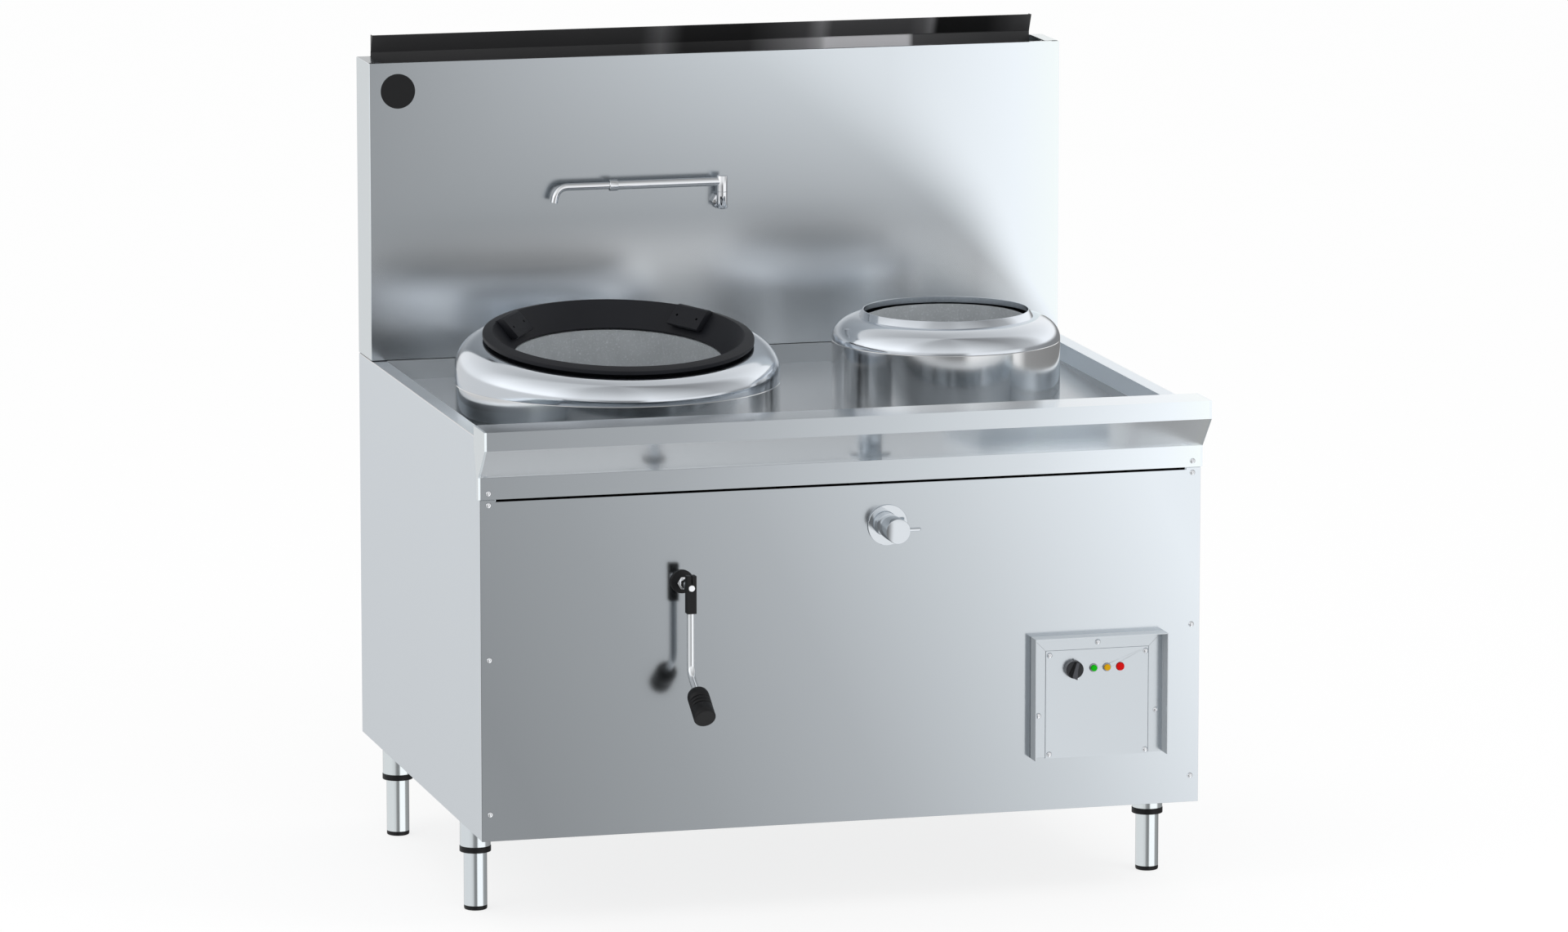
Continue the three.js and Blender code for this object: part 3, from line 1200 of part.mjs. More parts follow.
function lamp() {
  const back = PLATE_FACE_Y - GAP;
  return placed(revolve([
    [0, -back - LAMP_TAIL], [LAMP_STEM, -back - LAMP_TAIL], [LAMP_STEM, -back],
    [LAMP_RADIUS, -back], [LAMP_RADIUS, -back + 1.2], [LAMP_LENS, -back + 1.8],
    [LAMP_LENS, -back + LAMP_REACH - 1], [LAMP_LENS - 1.2, -back + LAMP_REACH],
    [0, -back + LAMP_REACH],
  ], 16), toFront);
}

// Button that runs in the plate, with a collar behind it.
function resetButton() {
  const front = -PLATE_FACE_Y + BUTTON_REACH;
  return placed(revolve([
    [0, -SHEET - BUTTON_TAIL], [4, -SHEET - BUTTON_TAIL], [4, -3], [BUTTON_RADIUS + 2, -3],
    [BUTTON_RADIUS + 2, -PLATE_BACK_Y - GAP], [BUTTON_RADIUS, -PLATE_BACK_Y - GAP],
    [BUTTON_RADIUS, front - 1], [BUTTON_RADIUS - 1, front], [0, front],
  ], 16), toFront);
}

// ---------------------------------------------------------------- the range
add('left_side_panel', sidePanel(), steel);
add('right_side_panel', mirrored(sidePanel()), steel);
add('front_panel', frontPanel(), steel);
add('rear_panel', rearPanel(), steel);
add('base_pan', basePan(), steel);
add('front_rail', frontRail(), steel);
add('deck_tray', deckTray(), steel);
add('splashback_shell', splashbackShell(), steel);
add('splashback_back', splashbackBack(), steel);
add('flue_deflector', flueDeflector(), darkSteel);
add('badge_plate', badgePlate(), blackPlastic);

const wok = group(WOK_X, BURNER_Y, 0);
add('left_burner_housing', wokHousing(), polished, wok);
add('left_refractory', wokRefractory(), refractory, wok);
add('burner_head', burnerHead(), castIron, wok);
add('pilot_assembly', pilotAssembly(), brass, wok);
const ringSeat = group(0, WOK_RING_Y - BURNER_Y, WOK_RING_Z, wok);
ringSeat.rotation.x = TILT;
add('wok_ring', wokRing(), castIron, ringSeat);

const pot = group(POT_X, BURNER_Y, 0);
add('right_pot_housing', potHousing(), polished, pot);
add('right_refractory', potRefractory(), refractory, pot);
add('right_hearth', potHearth(), refractory, pot);

add('cross_flue_duct', crossFlueDuct(), steel);
add('rear_flue_duct', rearFlueDuct(), steel);
add('flue_riser_duct', flueRiserDuct(), steel);
add('gas_inlet_pipe', gasInletPipe(), copper);
add('gas_valve_block', gasValveBlock(), brass);
add('knee_valve_body', kneeValveBody(), brass);
add('burner_feed_pipe', burnerFeedPipe(), copper);
add('tap_valve_body', tapValveBody(), brass);
add('water_inlet_pipe', waterInletPipe(), copper);
add('water_riser_pipe', waterRiserPipe(), copper);

const LEGS = [
  ['front_left', -LEG_X, LEG_FRONT_Y],
  ['front_right', LEG_X, LEG_FRONT_Y],
  ['rear_left', -LEG_X, LEG_BACK_Y],
  ['rear_right', LEG_X, LEG_BACK_Y],
];
for (const [corner, x, y] of LEGS) {
  const leg = group(x, y, 0);
  add(`leg_sleeve_${corner}`, legSleeve(), steel, leg);
  add(`leg_insert_${corner}`, legInsert(), steel, leg);
  add(`foot_${corner}`, foot(), blackPlastic, leg);
}

const lever = group(LEVER_X, 0, LEVER_Z);
add('valve_escutcheon', valveEscutcheon(), blackPlastic, lever);
add('lever_shaft', leverShaft(), polished, lever);
add('lever_clamp', leverClamp(), blackPlastic, lever);
add('lever_rod', leverRod(), steel, lever);
add('lever_grip', leverGrip(), blackPlastic, lever);

const tap = group(TAP_X, 0, TAP_Z);
add('tap_escutcheon', tapEscutcheon(), polished, tap);
add('tap_knob', tapKnob(), polished, tap);

const spout = group(0, SPOUT_Y, 0);
add('spout_wall_elbow', spoutWallElbow(), polished, spout);
add('spout_column', spoutColumn(), polished, spout);
add('spout_arm', spoutArm(), polished, spout);
add('spout_tip', spoutTip(), polished, spout);

add('control_guard', controlGuard(), steel);
add('control_plate', controlPlate(), steel);
add('control_box', controlBox(), steel);
const selector = group(SELECTOR_X, 0, CONTROL_ROW_Z);
add('selector_bezel', selectorBezel(), greyPlastic, selector);
add('selector_knob', selectorKnob(), blackPlastic, selector);
add('green_lamp', lamp(), green, group(GREEN_X, 0, CONTROL_ROW_Z));
add('amber_lamp', lamp(), amber, group(GREEN_X + LAMP_PITCH, 0, CONTROL_ROW_Z));
add('reset_button', resetButton(), red, group(GREEN_X + 2 * LAMP_PITCH, 0, CONTROL_ROW_Z));

// The footprint runs from the tip of the knee grip to the rear face.
const gripFront = ROD_Y
  - (ROD_REACH + GRIP_LENGTH) * Math.sin(THREE.MathUtils.degToRad(GRIP_SLOPE))
  - (GRIP_RADIUS - 2) * Math.cos(THREE.MathUtils.degToRad(GRIP_SLOPE));
parts.position.y = -(gripFront + DEPTH) / 2;

export default parts;
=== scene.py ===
"""Dressing for a two-place wok range: finishes, sheet edges, turned parts and fasteners."""

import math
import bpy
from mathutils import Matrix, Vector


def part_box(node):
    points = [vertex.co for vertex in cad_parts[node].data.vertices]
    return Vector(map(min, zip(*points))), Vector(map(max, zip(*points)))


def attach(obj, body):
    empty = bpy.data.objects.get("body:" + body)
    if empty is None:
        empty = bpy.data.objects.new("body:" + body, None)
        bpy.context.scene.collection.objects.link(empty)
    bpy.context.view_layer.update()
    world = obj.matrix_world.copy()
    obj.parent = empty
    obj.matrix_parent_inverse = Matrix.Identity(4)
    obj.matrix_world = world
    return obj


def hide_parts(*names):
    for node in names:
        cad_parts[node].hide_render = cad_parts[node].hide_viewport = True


bl_info = {
    "name": "Wok Range Dresser",
    "version": (1, 0, 0),
    "blender": (4, 5, 0),
    "location": "View3D > Sidebar > Wok Range",
    "description": "Dresses the packed wok range with its finishes and fine shapes",
    "category": "Object",
}

import bmesh
import bpy
from bpy.props import FloatProperty, FloatVectorProperty, IntProperty, PointerProperty
from mathutils import Matrix, Vector

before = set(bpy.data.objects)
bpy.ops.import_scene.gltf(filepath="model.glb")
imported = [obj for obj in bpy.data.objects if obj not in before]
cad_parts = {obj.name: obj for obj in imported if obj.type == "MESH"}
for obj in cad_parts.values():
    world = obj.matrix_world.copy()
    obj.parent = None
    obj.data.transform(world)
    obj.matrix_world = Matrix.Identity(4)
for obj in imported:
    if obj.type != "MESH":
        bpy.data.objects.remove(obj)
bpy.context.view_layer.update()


# ---------------- places taken from the frame
def low(node):
    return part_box(node)[0]


def high(node):
    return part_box(node)[1]


def middle(node):
    a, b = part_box(node)
    return (a + b) / 2


PANEL_Y = low("front_panel").y  # face of the front panel
WOK = Vector((middle("left_burner_housing").x, middle("right_pot_housing").y, 0))
POT = Vector((middle("right_pot_housing").x, middle("right_pot_housing").y, 0))
MM = 0.001


# ---------------- sizes and colours a user may change
class RangeSizes(bpy.types.PropertyGroup):
    """Sizes of the fine shapes"""

    fold_radius: FloatProperty(
        name="Fold radius", description="Outer radius of the folded sheet edges",
        default=0.0012, min=0.0, unit="LENGTH",
    )
    screw_head: FloatProperty(
        name="Screw head", description="Diameter of the panel screws' heads",
        default=0.0092, min=0.001, unit="LENGTH",
    )
    round_steps: IntProperty(
        name="Round steps", description="Facets round the two polished cans", default=192, min=24,
    )


def colour_of(name, what, default):
    return FloatVectorProperty(
        name=name, description="Colour of the " + what, subtype="COLOR", size=3, default=default,
        min=0, max=1,
    )


class RangeColours(bpy.types.PropertyGroup):
    """Base colours of the finishes"""

    polished: colour_of("Polished cans", "polished housings", (0.775, 0.82, 0.875))
    iron: colour_of("Cast ring", "cast ring", (0.0105, 0.0114, 0.0146))
    lining: colour_of("Fired lining", "refractory linings", (0.375, 0.40, 0.42))
    moulding: colour_of("Black mouldings", "black plastic parts", (0.0065, 0.0068, 0.0078))


# ---------------- shader expressions
def maths(operation, swapped=False):
    """A method that adds a Math node."""
    def made(self, other):
        first, second = (other, self) if swapped else (self, other)
        return self.shader.node("Math", {"operation": operation}, {0: first, 1: second})
    return made


class Value:
    """One output of a shader node, with arithmetic that adds Math nodes."""

    def __init__(self, shader, socket):
        self.shader = shader
        self.socket = socket

    __add__, __radd__ = maths("ADD"), maths("ADD", True)
    __sub__, __rsub__ = maths("SUBTRACT"), maths("SUBTRACT", True)
    __mul__, __truediv__ = maths("MULTIPLY"), maths("DIVIDE")
    over, under = maths("GREATER_THAN"), maths("LESS_THAN")

    def clamp(self):
        return self.shader.node("Clamp", {}, {"Value": self})


class Shader:
    """A new node material with one Principled surface."""

    def __init__(self, name, **constants):
        self.material = bpy.data.materials.new(name)
        self.material.use_nodes = True
        self.tree = self.material.node_tree
        self.surface = self.tree.nodes["Principled BSDF"]
        for socket, value in constants.items():
            self.surface.inputs[socket.replace("_", " ")].default_value = value

    def node(self, kind, settings, inputs, output=0):
        made = self.tree.nodes.new("ShaderNode" + kind)
        for key, value in settings.items():
            if key == "stops":
                self._stops(made.color_ramp, value)
            else:
                setattr(made, key, value)
        for key, value in inputs.items():
            self._feed(made.inputs[key], value)
        return Value(self, made.outputs[output])

    def _stops(self, ramp, stops):
        while len(ramp.elements) < len(stops):
            ramp.elements.new(0.5)
        for element, (place, colour) in zip(ramp.elements, stops):
            element.position = place
            element.color = (*colour, 1)

    def _feed(self, socket, value):
        if isinstance(value, Value):
            self.tree.links.new(value.socket, socket)
        else:
            socket.default_value = value

    def set(self, socket, value):
        self._feed(self.surface.inputs[socket], value)

    def paint(self, colour, roughness):
        self.set("Base Color", colour)
        self.set("Roughness", roughness)

    def place(self):
        """Place on the piece, in metres, in the object's own frame."""
        return self.node("TexCoord", {}, {}, "Object")

    def axis(self, name):
        return self.node("SeparateXYZ", {}, {0: self.place()}, name)

    def axes(self):
        return (self.axis(name) for name in "XYZ")

    def spread(self, value, start, end, low=0.0, high=1.0, kind="LINEAR"):
        """How far a value is on its way from start to end, as a value from low to high."""
        return self.node("MapRange", {"interpolation_type": kind}, {
            "Value": value, "From Min": start, "From Max": end, "To Min": low, "To Max": high,
        })

    def ramp(self, value, start, end, stops):
        return self.node("ValToRGB", {"stops": stops}, {"Fac": self.spread(value, start, end)})

    def noise(self, scale, stretch=(1, 1, 1), detail=3.0, rough=0.55):
        place = self.node("Mapping", {}, {"Vector": self.place(), "Scale": stretch})
        return self.node("TexNoise", {}, {
            "Vector": place, "Scale": scale, "Detail": detail, "Roughness": rough,
        }, "Fac")

    def mix(self, factor, first, second):
        first, second = ((*c, 1) if isinstance(c, tuple) else c for c in (first, second))
        return self.node("Mix", {"data_type": "RGBA"}, {"Factor": factor, 6: first, 7: second}, 2)

    def tint(self, colour, amount):
        """Colour times a grey value."""
        return self.node("VectorMath", {"operation": "SCALE"}, {0: colour, "Scale": amount})

    def bump(self, height, strength, distance):
        self.set("Normal", self.node(
            "Bump", {}, {"Height": height, "Strength": strength, "Distance": distance}, "Normal",
        ))
        return self.material


def scaled(colour, share):
    """A paler or darker colour."""
    return tuple(min(1, c * share) for c in colour)


def brushed(name, tone, grain, roughness, depth=0.02, metal=1.0):
    """Brushed stainless: fine lines along one axis over a tone that follows the panel."""
    shader = Shader(name)
    shader.set("Metallic", metal(shader) if callable(metal) else metal)
    lines = shader.noise(60, grain, 3.0, 0.6)
    cloud = shader.noise(2.2, detail=2.0)
    shader.paint(
        shader.tint(tone(shader), 0.985 + lines * 0.02 + cloud * 0.01),
        roughness - 0.01 + lines * 0.015 + cloud * 0.005,
    )
    return shader.bump(lines, depth, 0.0001)


def flat_tone(colour):
    return lambda shader: shader.mix(shader.noise(1.3), scaled(colour, 0.97), scaled(colour, 1.03))


def mirror(name, colour, roughness=0.06, metal=1.0):
    """Polished or plated metal with faint polishing haze."""
    shader = Shader(name, Metallic=metal)
    haze = shader.noise(18, detail=4.0)
    shader.paint(shader.mix(haze, scaled(colour, 0.96), colour), roughness + haze * 0.03)
    return shader.bump(shader.noise(3.0), 0.02, 0.0005)


def polished(name, seam):
    """A polished can; its wall sees mostly other steel, so it is painted more neutral than its
    shoulder, a painted reflection tint.
    """
    shader = Shader(name, Metallic=1.0)
    haze = shader.noise(18, detail=4.0)
    shoulder = shader.axis("Z").over(seam)
    # painted reflection tint: the wall below the seam more neutral than the shoulder
    colour = shader.mix(shoulder, (0.815, 0.825, 0.835), tuple(colours().polished))
    shader.paint(shader.tint(colour, 0.96 + haze * 0.04), 0.11 + haze * 0.03)
    return shader.bump(shader.noise(3.0), 0.02, 0.0005)


def plastic(name, roughness, base):
    """Plastic with a fine spark-eroded texture; base makes its colour from that texture."""
    shader = Shader(name, Metallic=0.0, Specular_IOR_Level=0.28)
    speck = shader.noise(900, detail=2.0)
    shader.paint(base(shader, speck), roughness - 0.04 + speck * 0.08)
    return shader.bump(speck, 0.12, 0.0002)


def moulded(name, colour, roughness=0.42):
    """Plain moulded plastic."""
    return plastic(name, roughness, lambda shader, speck: shader.mix(
        speck, scaled(colour, 0.85), scaled(colour, 1.15),
    ))


def cast(name, colour):
    """Sand-cast iron, blacked."""
    shader = Shader(name, Metallic=0.0, Specular_IOR_Level=0.2)
    sand = shader.noise(420, detail=5.0, rough=0.7)
    cloud = shader.noise(14)
    shader.paint(
        shader.mix(cloud, scaled(colour, 0.8), scaled(colour, 1.25)),
        0.40 + cloud * 0.12 + sand * 0.06,
    )
    return shader.bump(sand, 0.18, 0.0004)


def fired(name, colour):
    """Fired fibre lining: pale grains in a grey ground."""
    shader = Shader(name, Metallic=0.0)
    grain = shader.noise(280, detail=4.0, rough=0.8)
    patch = shader.noise(24)
    ground = shader.mix(patch, scaled(colour, 0.80), scaled(colour, 1.1))
    pale = ((grain - 0.55) * 5.0).clamp()
    shader.paint(shader.mix(pale, ground, scaled(colour, 1.6)), 0.9 + patch * 0.08)
    return shader.bump(grain, 0.5, 0.0012)


def lens(name, colour, glow):
    """Coloured lamp lens, faintly ribbed and a little brighter inside."""
    shader = Shader(name, Metallic=0.0, Specular_IOR_Level=0.12, Emission_Strength=glow)
    ribs = shader.noise(300, detail=1.0)
    shader.paint(shader.mix(ribs, scaled(colour, 0.92), colour), 0.22 + ribs * 0.08)
    shader.set("Emission Color", shader.mix(ribs, scaled(colour, 0.5), colour))
    return shader.material


# ---------------- mesh makers
def link(name, bm, material, body, slot, *replaced, smooth=35):
    """A finished piece in place: named, shaded, riding on its body."""
    mesh = mesh_of(name, bm)
    piece = bpy.data.objects.new(name, mesh)
    bpy.context.collection.objects.link(piece)
    mesh.materials.append(material)
    if smooth:
        mesh.shade_smooth()
        mesh.set_sharp_from_angle(angle=math.radians(smooth))
    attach(piece, body)
    if replaced:
        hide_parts(*replaced)
    return piece


def mesh_of(name, bm):
    bmesh.ops.recalc_face_normals(bm, faces=bm.faces)
    mesh = bpy.data.meshes.new(name)
    bm.to_mesh(mesh)
    bm.free()
    return mesh


def rings(bm, circles, close=True):
    """Skins a list of rings of points; the last joins the first when closed."""
    rows = [[bm.verts.new(p) for p in ring] for ring in circles]
    for here, there in zip(rows, rows[1:] + (rows[:1] if close else [])):
        for corners in zip(here, here[1:] + here[:1], there[1:] + there[:1], there):
            bm.faces.new(corners)
    return rows


def prism(bm, circles):
    """Skins rings of points from the first to the last, and closes both ends."""
    rows = rings(bm, circles, close=False)
    for row in (rows[0], rows[-1]):
        bm.faces.new(row)


def angles(steps):
    return (2 * math.pi * k / steps for k in range(steps))


def circle(centre, radius, steps, tilt=0.0):
    x, y, z = centre
    return [Vector((
        x + radius * math.cos(a), y + radius * math.sin(a) * math.cos(tilt),
        z + radius * math.sin(a) * math.sin(tilt),
    )) for a in angles(steps)]


def turned(bm, profile, steps, matrix):
    """Solid of revolution about +Z from (radius, height) pairs: from axis to axis, or closed."""
    on_axis = profile[0][0] < 1e-9
    body = profile[1:-1] if on_axis else profile
    rows = rings(bm, [circle((0, 0, z), r, steps) for r, z in body], close=not on_axis)
    made = [v for row in rows for v in row]
    if on_axis:
        for row, (_, z) in ((rows[0], profile[0]), (rows[-1], profile[-1])):
            tip = bm.verts.new((0, 0, z))
            made.append(tip)
            for k in range(steps):
                bm.faces.new((row[k], row[(k + 1) % steps], tip))
    bmesh.ops.transform(bm, matrix=matrix, verts=made)


def bend(a, corner, b, steps):
    """Points on a curve from a to b, drawn towards their corner."""
    return [
        a * (1 - t) ** 2 + corner * 2 * t * (1 - t) + b * t ** 2
        for t in (k / steps for k in range(steps + 1))
    ]


def rounded(profile, radius, corners):
    """Profile with the listed corners rounded."""
    out = []
    for i, point in enumerate(profile):
        if i not in corners:
            out.append(point)
            continue
        here = Vector(point)
        before = Vector(profile[i - 1]) - here
        after = Vector(profile[(i + 1) % len(profile)]) - here
        size = min(radius, before.length * 0.49, after.length * 0.49)
        a, b = here + before.normalized() * size, here + after.normalized() * size
        out += [tuple(place) for place in bend(a, here, b, 4)]
    return out


def cornered(points, radius, steps):
    """Polyline with each inner corner rounded."""
    path = [Vector(p) for p in points]
    out = [path[0]]
    for before, here, after in zip(path, path[1:], path[2:]):
        a = here + (before - here).normalized() * radius
        b = here + (after - here).normalized() * radius
        out += bend(a, here, b, steps)
    return out + [path[-1]]


def swept(path, radius, steps):
    """Rings of a round bar along a path, its section carried along without twist."""
    side = None
    circles = []
    for i, here in enumerate(path):
        ahead = (path[min(i + 1, len(path) - 1)] - path[max(i - 1, 0)]).normalized()
        if side is None:
            side = ahead.orthogonal().normalized()
        side = (side - ahead * side.dot(ahead)).normalized()
        other = ahead.cross(side)
        circles.append([
            here + (side * math.cos(a) + other * math.sin(a)) * radius for a in angles(steps)
        ])
    return circles


def bevel(bm, edges, size, segments):
    bmesh.ops.bevel(
        bm, geom=edges, offset=size, segments=segments, profile=0.5, affect="EDGES",
    )


def slab(bm, a, b, edge=0.0):
    """Block between two corners, its edges rounded."""
    a, b = Vector(a), Vector(b)
    made = bmesh.ops.create_cube(bm, size=1.0)["verts"]
    matrix = Matrix.Translation((a + b) / 2) @ Matrix.Diagonal((*(b - a), 1))
    bmesh.ops.transform(bm, matrix=matrix, verts=made)
    if edge:
        bevel(bm, list({e for v in made for e in v.link_edges}), edge, 3)


def turn(degrees, axis):
    return Matrix.Rotation(math.radians(degrees), 4, axis)


def spot(x, y, z):
    """Place from millimetres: across, behind the front panel's face, above the floor."""
    return Vector((x * MM, PANEL_Y + y * MM, z * MM))


def at(x, y, z):
    """Drawing moved to a place in millimetres."""
    return Matrix.Translation(spot(x, y, z))


def facing(x, z, y=0.0):
    """Drawing on the front panel at (x, z) mm, its +Z turned to the cook."""
    return at(x, y, z) @ turn(90, "X")


def mm(profile):
    return [(r * MM, z * MM) for r, z in profile]


def lathed(name, profile, steps, place, *how, **more):
    """A turned piece from a profile in millimetres, linked as told."""
    bm = bmesh.new()
    turned(bm, mm(profile), steps, place)
    link(name, bm, *how, **more)


def hexagon(bm, corner, z0, z1, matrix):
    """Hexagonal nut with chamfered corners, by its corner radius in mm."""
    flat, chamfer = 0.8, 0.48
    turned(bm, mm([
        (0, z0), (corner - flat, z0), (corner, z0 + chamfer), (corner, z1 - chamfer),
        (corner - flat, z1), (0, z1),
    ]), 6, matrix)


def finish_node(node, material):
    """Gives a CAD piece its finish, without touching its mesh."""
    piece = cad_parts[node]
    piece.data.materials.clear()
    piece.data.materials.append(material)
    return piece


def soften(node, material, radius):
    """Gives a CAD sheet its fold radii and finish."""
    piece = finish_node(node, material)
    piece.modifiers.new("weld", "WELD").merge_threshold = 1e-5
    folds = piece.modifiers.new("folds", "BEVEL")
    folds.width = radius
    folds.segments = 3
    folds.limit_method = "ANGLE"
    folds.angle_limit = math.radians(40)


SHARED = {}


def shared(maker, name, *settings, **more):
    """One material made once and used by several pieces."""
    if name not in SHARED:
        SHARED[name] = maker(name, *settings, **more)
    return SHARED[name]


def colours():
    return bpy.context.scene.range_colours


def sizes():
    return bpy.context.scene.range_sizes


# ---------------- tones that follow the panels: painted reflections, light and shade
WHITE = (1.0, 1.0, 1.0)
HALF = 0.6  # half of the cabinet's width
END_X = 0.5992  # just inside the ends of the splashback and the rail
SIDE_X = 0.5990  # just inside the outer faces of the side sheets


def grey(level, blue=0.078):
    """A cool grey of one linear level."""
    return (level * (1 - blue * 0.6), level * (1 + blue * 0.25), level * (1 + blue))


def greys(*stops):
    """Ramp stops from (place, level) or (place, level, blue)."""
    return [(place, grey(*tone)) for place, *tone in stops]


def across(shader, *stops):
    """Greys over the cabinet's width."""
    return shader.ramp(shader.axis("X"), -HALF, HALF, greys(*stops))


def front_painted_reflection(shader):
    """Front sheet, with painted reflection: darker on the left, lighter to the right and a little
    towards the top.
    """
    return shader.ramp(shader.axis("X") + shader.axis("Z") * 0.46, -0.426, 0.834, greys(
        (0.0, 0.270), (0.22, 0.332), (0.46, 0.432), (0.72, 0.612), (1.0, 0.845),
    ))


def capped(shader, tone):
    """A tone on the faces between the ends, and pale painted light on the two ends themselves."""
    ends = shader.node("Math", {"operation": "ABSOLUTE"}, {0: shader.axis("X")}).over(END_X)
    return shader.mix(ends, tone, grey(0.95))


def rail_painted_reflection(shader):
    """Front rail, with painted reflections: its lip and flange brighten to the right; the slant
    between them doesn't, and has its own painted bands.
    """
    _, y, z = shader.axes()
    flat = across(shader, (0.0, 0.317), (0.25, 0.387), (0.5, 0.528), (0.75, 0.715), (1.0, 0.985))
    slant = across(
        shader, (0.0, 0.71, 0.05), (0.25, 0.76, 0.05), (0.5, 0.73, 0.05), (0.70, 0.76, 0.05),
        (0.76, 0.97, 0.05), (0.85, 0.94, 0.05), (0.90, 0.70, 0.05), (1.0, 0.99, 0.05),
    )
    foot, top = 0.740, 0.791  # of the slant
    where = z.over(foot) * z.under(top) * y.under(PANEL_Y - 0.0005)
    return capped(shader, shader.mix(where, flat, slant))


def splash_painted_reflection(shader):
    """Splashback, with painted reflections: grey, paler upwards and to the right, bright in a wedge
    and at its foot.
    """
    x, _, z = shader.axes()
    rise = shader.spread(z, 1.0, 1.3, 0.07, 0.42)
    field = shader.tint(grey(1.0), 0.335 + (x + HALF).clamp() * rise)
    # the foot's bright and dark bands are painted reflections
    foot = across(
        shader, (0.0, 0.50, 0.05), (0.08, 0.64, 0.05), (0.17, 0.80, 0.04), (0.40, 0.92, 0.03),
        (0.60, 0.96, 0.03), (0.72, 0.90, 0.04), (0.77, 0.62, 0.05), (0.88, 0.48, 0.05), (1.0, 0.78),
    )
    field = shader.mix(shader.spread(z, 1.04, 0.88, kind="SMOOTHSTEP"), field, foot)
    # the bright, soft-edged wedge is a painted reflection
    edge = x - (0.525 - (z - 0.9) * 0.71 - (z - 1.05).clamp() * 0.24)
    width = (z - 0.9).clamp() * 0.35 + 0.03
    reflection_wedge = shader.spread(edge / width, -1.0, 1.0, kind="SMOOTHSTEP")
    bright = shader.ramp(x, 0.3, HALF, greys((0.0, 0.78), (1.0, 0.98)))
    return capped(shader, shader.mix(reflection_wedge, field, bright))


def guard_wall(shader):
    """1 on the guard's walls, which stand out in front of its flange."""
    return shader.axis("Y").under(PANEL_Y - 0.003)


def guard_tone_and_shade(shader):
    """Control guard: pale flange, and greyer walls in painted shade."""
    return shader.mix(guard_wall(shader), grey(0.66), grey(0.62))


def guard_metal(shader):
    """The guard's walls are made less metallic than its flange, so they reflect the room less; this
    goes with their painted shade.
    """
    return 1.0 - guard_wall(shader) * 0.6


def side_painted_light(shader):
    """Side sheets, with painted light: paler upwards; the left one's top is painted white along its
    outer edge as a highlight, and its inner ledge is a painted reflection, dimmer at the rear.
    """
    x, y, z = shader.axes()
    wall = shader.ramp(z, 0.15, 1.3, greys((0.0, 0.85), (0.4, 0.905), (1.0, 0.965)))
    ledge = shader.ramp(y, PANEL_Y + 0.18, PANEL_Y + 0.42, greys((0.0, 0.96), (1.0, 0.62)))
    ledge_z, edge_z = 0.79, 0.8007  # just under the ledge and under the outer top edge
    tone = shader.mix(x.over(-SIDE_X) * x.under(0.0) * z.over(ledge_z), wall, ledge)
    # painted highlight: the left sheet's outer top edge in white
    return shader.mix(x.under(-SIDE_X) * z.over(edge_z), tone, WHITE)


def tray_painted_reflection(shader):
    """Tray: paler to the right, a painted reflection."""
    return shader.ramp(shader.axis("X"), -0.58, 0.58, greys(
        (0.0, 0.50, 0.07), (0.5, 0.46, 0.07), (1.0, 0.64, 0.07),
    ))


def plain_tone(level):
    return lambda shader: shader.mix(
        shader.noise(1.3), grey(level * 0.97), grey(min(1, level * 1.03)),
    )


SHEETS = {  # tone, grain, roughness and metal of each kind of sheet
    "front": (front_painted_reflection, (1, 30, 30), 0.13, 1.0),
    "rail": (rail_painted_reflection, (1, 30, 30), 0.14, 1.0),
    "splash": (splash_painted_reflection, (30, 30, 1), 0.20, 1.0),
    "side": (side_painted_light, (30, 1, 30), 0.30, 1.0),
    "tray": (tray_painted_reflection, (1, 20, 20), 0.27, 0.55),
    "plain": (plain_tone(0.46), (1, 25, 25), 0.36, 1.0),
    "guard": (guard_tone_and_shade, (30, 30, 1), 0.20, guard_metal),
    "plate": (plain_tone(0.68), (1, 30, 30), 0.24, 1.0),
}


def sheet_material(kind):
    tone, grain, roughness, metal = SHEETS[kind]
    return shared(brushed, "brushed_" + kind, tone, grain, roughness, metal=metal)


def chrome():
    return shared(mirror, "bright_chrome", (0.90, 0.92, 0.95), 0.045)


def tap_steel():
    return shared(mirror, "tap_steel", (0.72, 0.76, 0.80))


def satin():
    return shared(brushed, "satin_bar", plain_tone(0.95), (30, 30, 1), 0.14, 0.01)


def iron():
    return shared(cast, "blacked_iron", tuple(colours().iron))


def lining():
    return shared(fired, "fired_lining", tuple(colours().lining))


def black_moulding():
    return shared(moulded, "black_moulding", tuple(colours().moulding))


def yellow_metal(name, colour, roughness):
    return brushed(name, flat_tone(colour), (40, 40, 40), roughness, 0.08)


